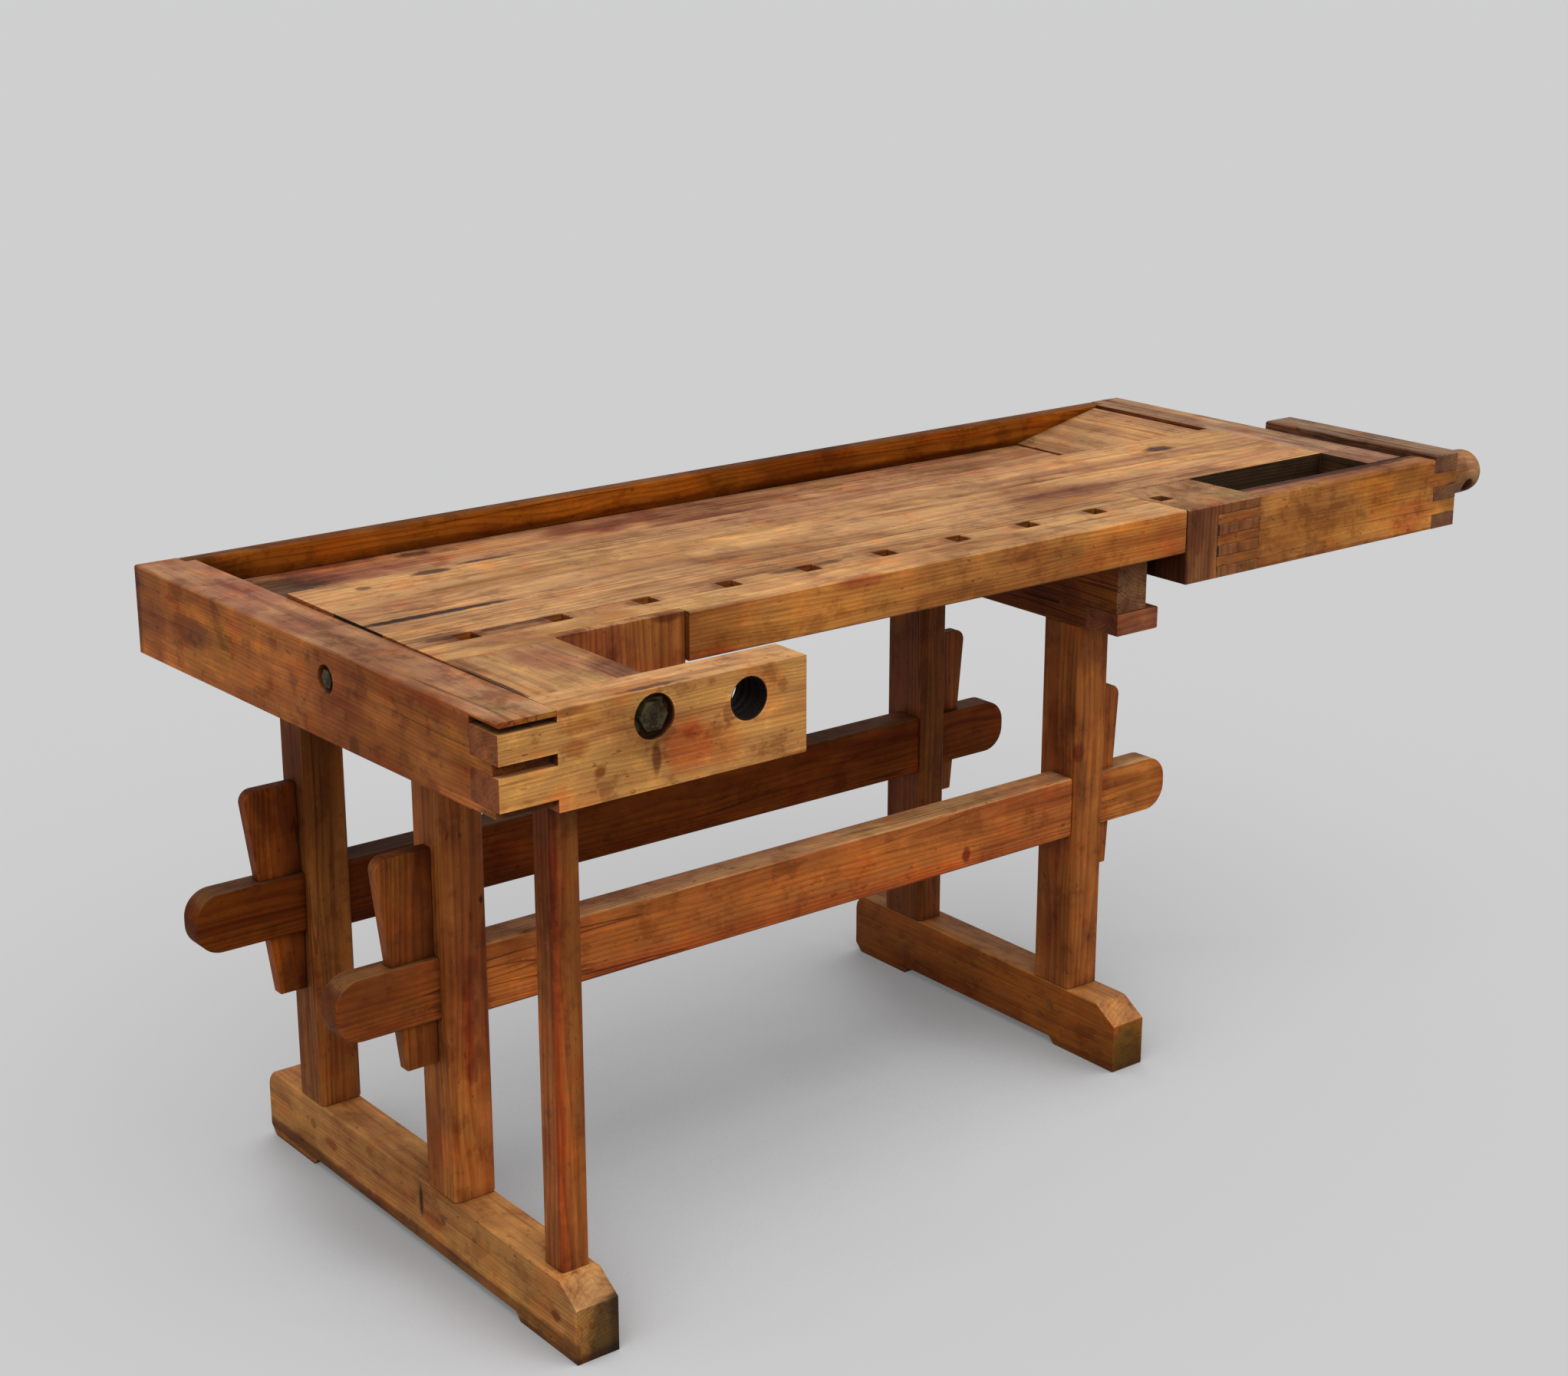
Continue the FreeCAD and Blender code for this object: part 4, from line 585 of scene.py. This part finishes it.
def soften(piece, width=0.0012):
    """Round a CAD piece's sharp edges a little, as handling does.

    Its triangles are joined to flat faces first, so that only real edges are rounded.
    """
    weld = piece.modifiers.new("weld", "WELD")
    weld.merge_threshold = 0.00002
    flat = piece.modifiers.new("flat", "DECIMATE")
    flat.decimate_type = "DISSOLVE"
    flat.angle_limit = math.radians(1.0)
    bevel = piece.modifiers.new("bevel", "BEVEL")
    bevel.width = width
    bevel.segments = 2
    bevel.limit_method = "ANGLE"
    bevel.angle_limit = math.radians(40)
    bevel.use_clamp_overlap = True
    bevel.harden_normals = True


def dress(piece, material):
    """Give a piece one material."""
    piece.data.materials.clear()
    piece.data.materials.append(material)


# Pegs lie in other wood, so their edges stay sharp.
PEGS = ("bearer_dowels", "foot_pins", "bearer_pins")
for name, look in LOOKS.items():
    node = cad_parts[name]
    dress(node, wood(name + "_wood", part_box(name), **look))
    if name not in PEGS:
        soften(node)


# ---------------------------------------------------------------- threads and the turned screw
PITCH = 0.012
THREAD_STEPS = 10                # rings in one turn of a thread
AROUND = 48                      # points in one ring
SHARP_CREST = 1.3                # how high an unworn crest would stand, where the worn one is 1


def thread_radius(x, angle, root, crest):
    """The radius of a worn V thread at a place along and around its axis."""
    turn = (x / PITCH - angle / math.tau) % 1.0
    rise = SHARP_CREST - 2 * SHARP_CREST * abs(turn - 0.5)
    return root + (crest - root) * min(1.0, max(0.0, rise))


def thread_rings(start, length, root, crest):
    """The rings of a worn V thread, for rings_mesh, at distances from start to start + length."""
    steps = int(length / PITCH * THREAD_STEPS)
    rings = []
    for k in range(steps + 1):
        x = start + length * k / steps
        radii = [thread_radius(x, math.tau * m / AROUND, root, crest) for m in range(AROUND)]
        rings.append((x, radii))
    return rings


def rings_mesh(name, rings, centre, along, closed):
    """A mesh skinned over rings of (distance along the axis, radius for each angle).

    Closed joins the last ring to the first one, and otherwise both ends are capped.
    """
    shape = bmesh.new()
    side = Vector((0, 0, 1))
    other = along.cross(side)
    loops = []
    for distance, radii in rings:
        loop = []
        for k, radius in enumerate(radii):
            angle = math.tau * k / AROUND
            spoke = side * math.cos(angle) + other * math.sin(angle)
            loop.append(shape.verts.new(centre + along * distance + spoke * radius))
        loops.append(loop)
    pairs = list(zip(loops, loops[1:]))
    if closed:
        pairs.append((loops[-1], loops[0]))
    else:
        shape.faces.new(loops[0])
        shape.faces.new(loops[-1])
    for first, second in pairs:
        for k in range(AROUND):
            m = (k + 1) % AROUND
            shape.faces.new((first[k], first[m], second[m], second[k]))
    bmesh.ops.recalc_face_normals(shape, faces=shape.faces)
    for face in shape.faces:
        face.smooth = len(face.verts) == 4
    mesh = bpy.data.meshes.new(name)
    shape.to_mesh(mesh)
    shape.free()
    return mesh


def cut_hole(piece, centre, way, radius, length):
    """Cut a round hole through a piece, with its result in the piece's own mesh."""
    shape = bmesh.new()
    turn = way.to_track_quat("Z", "Y").to_matrix().to_4x4()
    turn.translation = centre
    bmesh.ops.create_cone(shape, cap_ends=True, segments=AROUND, radius1=radius, radius2=radius,
                          depth=length, matrix=turn)
    mesh = bpy.data.meshes.new("hole")
    shape.to_mesh(mesh)
    shape.free()
    tool = add_object("hole", mesh)
    cutter = piece.modifiers.new("hole", "BOOLEAN")
    cutter.solver = "EXACT"
    cutter.object = tool
    bpy.context.view_layer.update()
    whole = piece.evaluated_get(bpy.context.evaluated_depsgraph_get())
    cut = bpy.data.meshes.new_from_object(whole)
    piece.modifiers.clear()
    piece.data = cut
    bpy.data.objects.remove(tool)


# The screw's stations along the bench and its radii, both in millimetres.
THREAD_END = 1764
SCREW_PROFILE = [
    # collar, garter neck and collar
    (1765.0, 22.6), (1771.0, 22.8), (1771.7, 16.5), (1784.3, 16.5), (1785.0, 22.8), (1806.9, 22.8),
    # bead
    (1807.2, 34.4), (1809.0, 35.6), (1815.0, 36.0), (1821.0, 35.6), (1822.8, 34.2), (1823.6, 32.2),
    # cove
    (1826.0, 30.2), (1830.0, 28.6), (1836.0, 28.0), (1842.0, 28.8), (1846.5, 30.6), (1849.0, 31.9),
    # fine groove, and the head with its rounded end
    (1852.0, 32.5), (1853.0, 31.8), (1854.0, 32.6), (1862.0, 32.9), (1884.0, 33.0), (1908.0, 32.7),
    (1918.0, 32.1), (1925.0, 30.2), (1930.0, 27.0), (1933.0, 22.8), (1934.0, 16.0),
]
# a painted highlight on the top of the head, and a darker patch low on its front
SCREW_HIGHLIGHT_AND_DARK_SPOT = [((1912, 275, 788), (26, 40, 40), (1.70, 2.10, 2.50), 0.9),
               ((1905, 282, 741), (30, 40, 14), (0.40, 0.30, 0.22), 0.9)]
SCREW_Y, SCREW_Z = 300, 768      # the screw's axis, in bench millimetres
SCREW_ROOT, SCREW_CREST = 0.0190, 0.0229
SCREW_LEAD_IN = 0.003            # length of the cone that the thread starts with
SCREW_TIP = 0.016                # radius of that cone's end
BAR_HOLE = 0.011                 # radius of the cross hole for the turning bar
BAR_HOLE_X = 1898                # its middle, in bench millimetres
BAR_TILT = 30                    # degrees that the hole points down at the front


def turned_screw():
    """The tail vise's wooden screw: thread, garter neck and turned head with its bar hole."""
    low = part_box("tail_vise_screw")[0]
    axis = place(0, SCREW_Y, SCREW_Z)
    start = Vector((low.x, axis.y, axis.z))
    length = place(THREAD_END, 0, 0).x - low.x - SCREW_LEAD_IN
    rings = [(0.0, [SCREW_TIP] * AROUND)]
    rings += thread_rings(SCREW_LEAD_IN, length, SCREW_ROOT, SCREW_CREST)
    rings += [(place(x, 0, 0).x - low.x, [radius / 1000] * AROUND) for x, radius in SCREW_PROFILE]
    mesh = rings_mesh("turned_screw", rings, start, Vector((1, 0, 0)), closed=False)
    screw = add_object("turned_screw", mesh)
    tilt = math.radians(BAR_TILT)
    way = Vector((0, -math.cos(tilt), -math.sin(tilt)))
    cut_hole(screw, place(BAR_HOLE_X, SCREW_Y, SCREW_Z), way, BAR_HOLE, length=0.1)
    dress(screw, wood("turned_screw_wood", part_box("tail_vise_screw"), grain="x", side=rgb(136, 92, 58),
                      end=(1.9, 1.9, 1.9), heart=(0.012, 0.008), ring=0.004, stain=0.5, spots=SCREW_HIGHLIGHT_AND_DARK_SPOT))
    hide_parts("tail_vise_screw")
    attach(screw, "tail_vise_screw")


# The shoulder vise's hole: its axis, radius and length in bench millimetres, and its thread in metres.
HOLE_X, HOLE_Z = 319, 785
HOLE_RADIUS = 25
HOLE_LENGTH = 55
HOLE_ROOT, HOLE_CREST = 0.0247, 0.0228
HOLE_BACK = 0.0253               # radius of the thread's outside, in the wood around the hole
HOLE_THREAD = 0.0540             # length of the thread, which starts and ends inside the hole


def shoulder_thread():
    """The worn thread in the shoulder vise's open hole."""
    rings = thread_rings(0.0, HOLE_THREAD, HOLE_ROOT, HOLE_CREST)
    rings += [(y, [HOLE_BACK] * AROUND) for y in (HOLE_THREAD, 0.0)]
    front = place(HOLE_X, 0.5, HOLE_Z)
    mesh = rings_mesh("shoulder_hole_thread", rings, front, Vector((0, 1, 0)), closed=True)
    thread = add_object("shoulder_hole_thread", mesh)
    box = (place(HOLE_X - HOLE_RADIUS, 0, HOLE_Z - HOLE_RADIUS),
           place(HOLE_X + HOLE_RADIUS, HOLE_LENGTH, HOLE_Z + HOLE_RADIUS))
    # the thread is painted near black, as painted shade inside the hole
    dress(thread, wood("shoulder_thread_wood", box, grain="x", side=rgb(30, 20, 13), stain=0.4))
    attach(thread, "bench")


turned_screw()
shoulder_thread()


# ---------------------------------------------------------------- iron
def iron(name):
    """Old iron: dark brown and grey-green with rust in its pits."""
    material, n, shader = new_material(name)
    where = n.add("TexCoord").outputs["Object"]
    cloud = n.noise(where, (60.0, 60.0, 60.0), 4.0, 0.6)
    grain = n.noise(where, (420.0, 420.0, 420.0), 3.0, 0.6)
    color = n.mix(n.between(cloud, 0.38, 0.62), rgb(76, 70, 40), rgb(36, 26, 10))
    color = n.mix(n.between(grain, 0.55, 0.7), color, rgb(104, 66, 40))
    relief = n.add("Bump")
    n.put(relief.inputs["Distance"], 0.0006)
    n.put(relief.inputs["Height"], n.math("ADD", cloud, n.math("MULTIPLY", grain, 0.4)))
    n.put(shader.inputs["Base Color"], color)
    n.put(shader.inputs["Roughness"], n.between(cloud, 0.3, 0.7, 0.45, 0.7))
    n.put(shader.inputs["Normal"], relief.outputs[0])
    shader.inputs["Metallic"].default_value = 0.2
    shader.inputs["Specular IOR Level"].default_value = 0.2
    return material


IRON = iron("old_iron")
for name in ("frame_bolts", "frame_bolt_washers", "frame_bolt_nuts"):
    dress(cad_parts[name], IRON)
    soften(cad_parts[name], width=0.0006)


# ---------------------------------------------------------------- camera, light and floor
def aim(item, target):
    """Turn a lamp or a camera so that it looks at a point."""
    item.rotation_euler = (Vector(target) - item.location).to_track_quat("-Z", "Y").to_euler()


# The camera that was fitted to the photo. Its focal length is in pixels of the photo.
PHOTO_WIDTH = 2044
FOCAL_LENGTH = 3402
YAW, PITCH_DOWN = math.radians(38.09), math.radians(17.18)

camera = add_object("camera", bpy.data.cameras.new("camera"))
camera.location = place(-1312, -2142, 1629)
ahead = Vector((math.sin(YAW) * math.cos(PITCH_DOWN), math.cos(YAW) * math.cos(PITCH_DOWN),
                -math.sin(PITCH_DOWN)))
aim(camera, camera.location + ahead)
camera.data.sensor_width = 36.0
camera.data.lens = FOCAL_LENGTH / PHOTO_WIDTH * camera.data.sensor_width
camera.data.clip_end = 200.0
scene.camera = camera


def sun(name, towards, strength, angle):
    """A broad, even light from one direction; its angle in degrees makes its shadows soft."""
    data = bpy.data.lights.new(name, "SUN")
    data.energy = strength
    data.angle = math.radians(angle)
    lamp = add_object(name, data)
    lamp.location = Vector(towards) * 4
    aim(lamp, (0.0, 0.0, 0.0))


sun("softbox_above", (-0.10, -0.50, 0.86), 1.75, 70)
sun("softbox_front", (-0.25, -0.92, 0.30), 0.30, 70)

BACKGROUND = rgb(207, 207, 208)
AMBIENT = (0.45, 0.45, 0.45)     # the light from all around, which the camera doesn't see
PAPER = (0.30, 0.30, 0.302)
PAPER_BOUNCE = (0.22, 0.22, 0.22)    # the paper as the bench's wood sees it, a little darker
PAPER_GLOW = (0.335, 0.335, 0.339, 1.0)
FLOOR_REACH = 90                 # metres from the middle of the floor to each side


def seen_directly(n):
    """1 for rays from the camera and off shiny or clear surfaces, 0 for rays of scattered light."""
    ray = n.add("LightPath").outputs
    direct = n.math("MAXIMUM", ray["Is Camera Ray"], ray["Is Glossy Ray"])
    return n.math("MAXIMUM", direct, ray["Is Transmission Ray"])


def studio_world():
    """Even light from all around, in front of a plain grey background."""
    world = bpy.data.worlds.new("studio")
    world.use_nodes = True
    scene.world = world
    n = Nodes(world.node_tree)
    ambient = world.node_tree.nodes["Background"]
    n.put(ambient.inputs["Color"], n.mix(seen_directly(n), AMBIENT, BACKGROUND))


def studio_floor():
    """Paper that glows up to the background's grey, with a painted shadow that dims the glow where the
    bench keeps light away.
    """
    corners = [(x * FLOOR_REACH, y * FLOOR_REACH, 0) for x, y in ((-1, -1), (1, -1), (1, 1), (-1, 1))]
    mesh = bpy.data.meshes.new("studio_floor")
    mesh.from_pydata(corners, [], [(0, 1, 2, 3)])
    floor = add_object("studio_floor", mesh)
    paper, n, shader = new_material("studio_paper")
    direct = seen_directly(n)
    n.put(shader.inputs["Base Color"], n.mix(direct, PAPER_BOUNCE, PAPER))
    # painted shadow: the glow is dimmed where the bench stands close above the paper
    painted_shade = n.add("AmbientOcclusion", samples=16)
    n.put(painted_shade.inputs["Distance"], 1.0)
    core = n.between(painted_shade.outputs["AO"], 0.40, 0.72, 0.35, 1.0)
    n.put(shader.inputs["Emission Strength"], n.math("MULTIPLY", direct, core))
    shader.inputs["Emission Color"].default_value = PAPER_GLOW
    shader.inputs["Roughness"].default_value = 1.0
    shader.inputs["Specular IOR Level"].default_value = 0.0
    dress(floor, paper)


studio_world()
studio_floor()
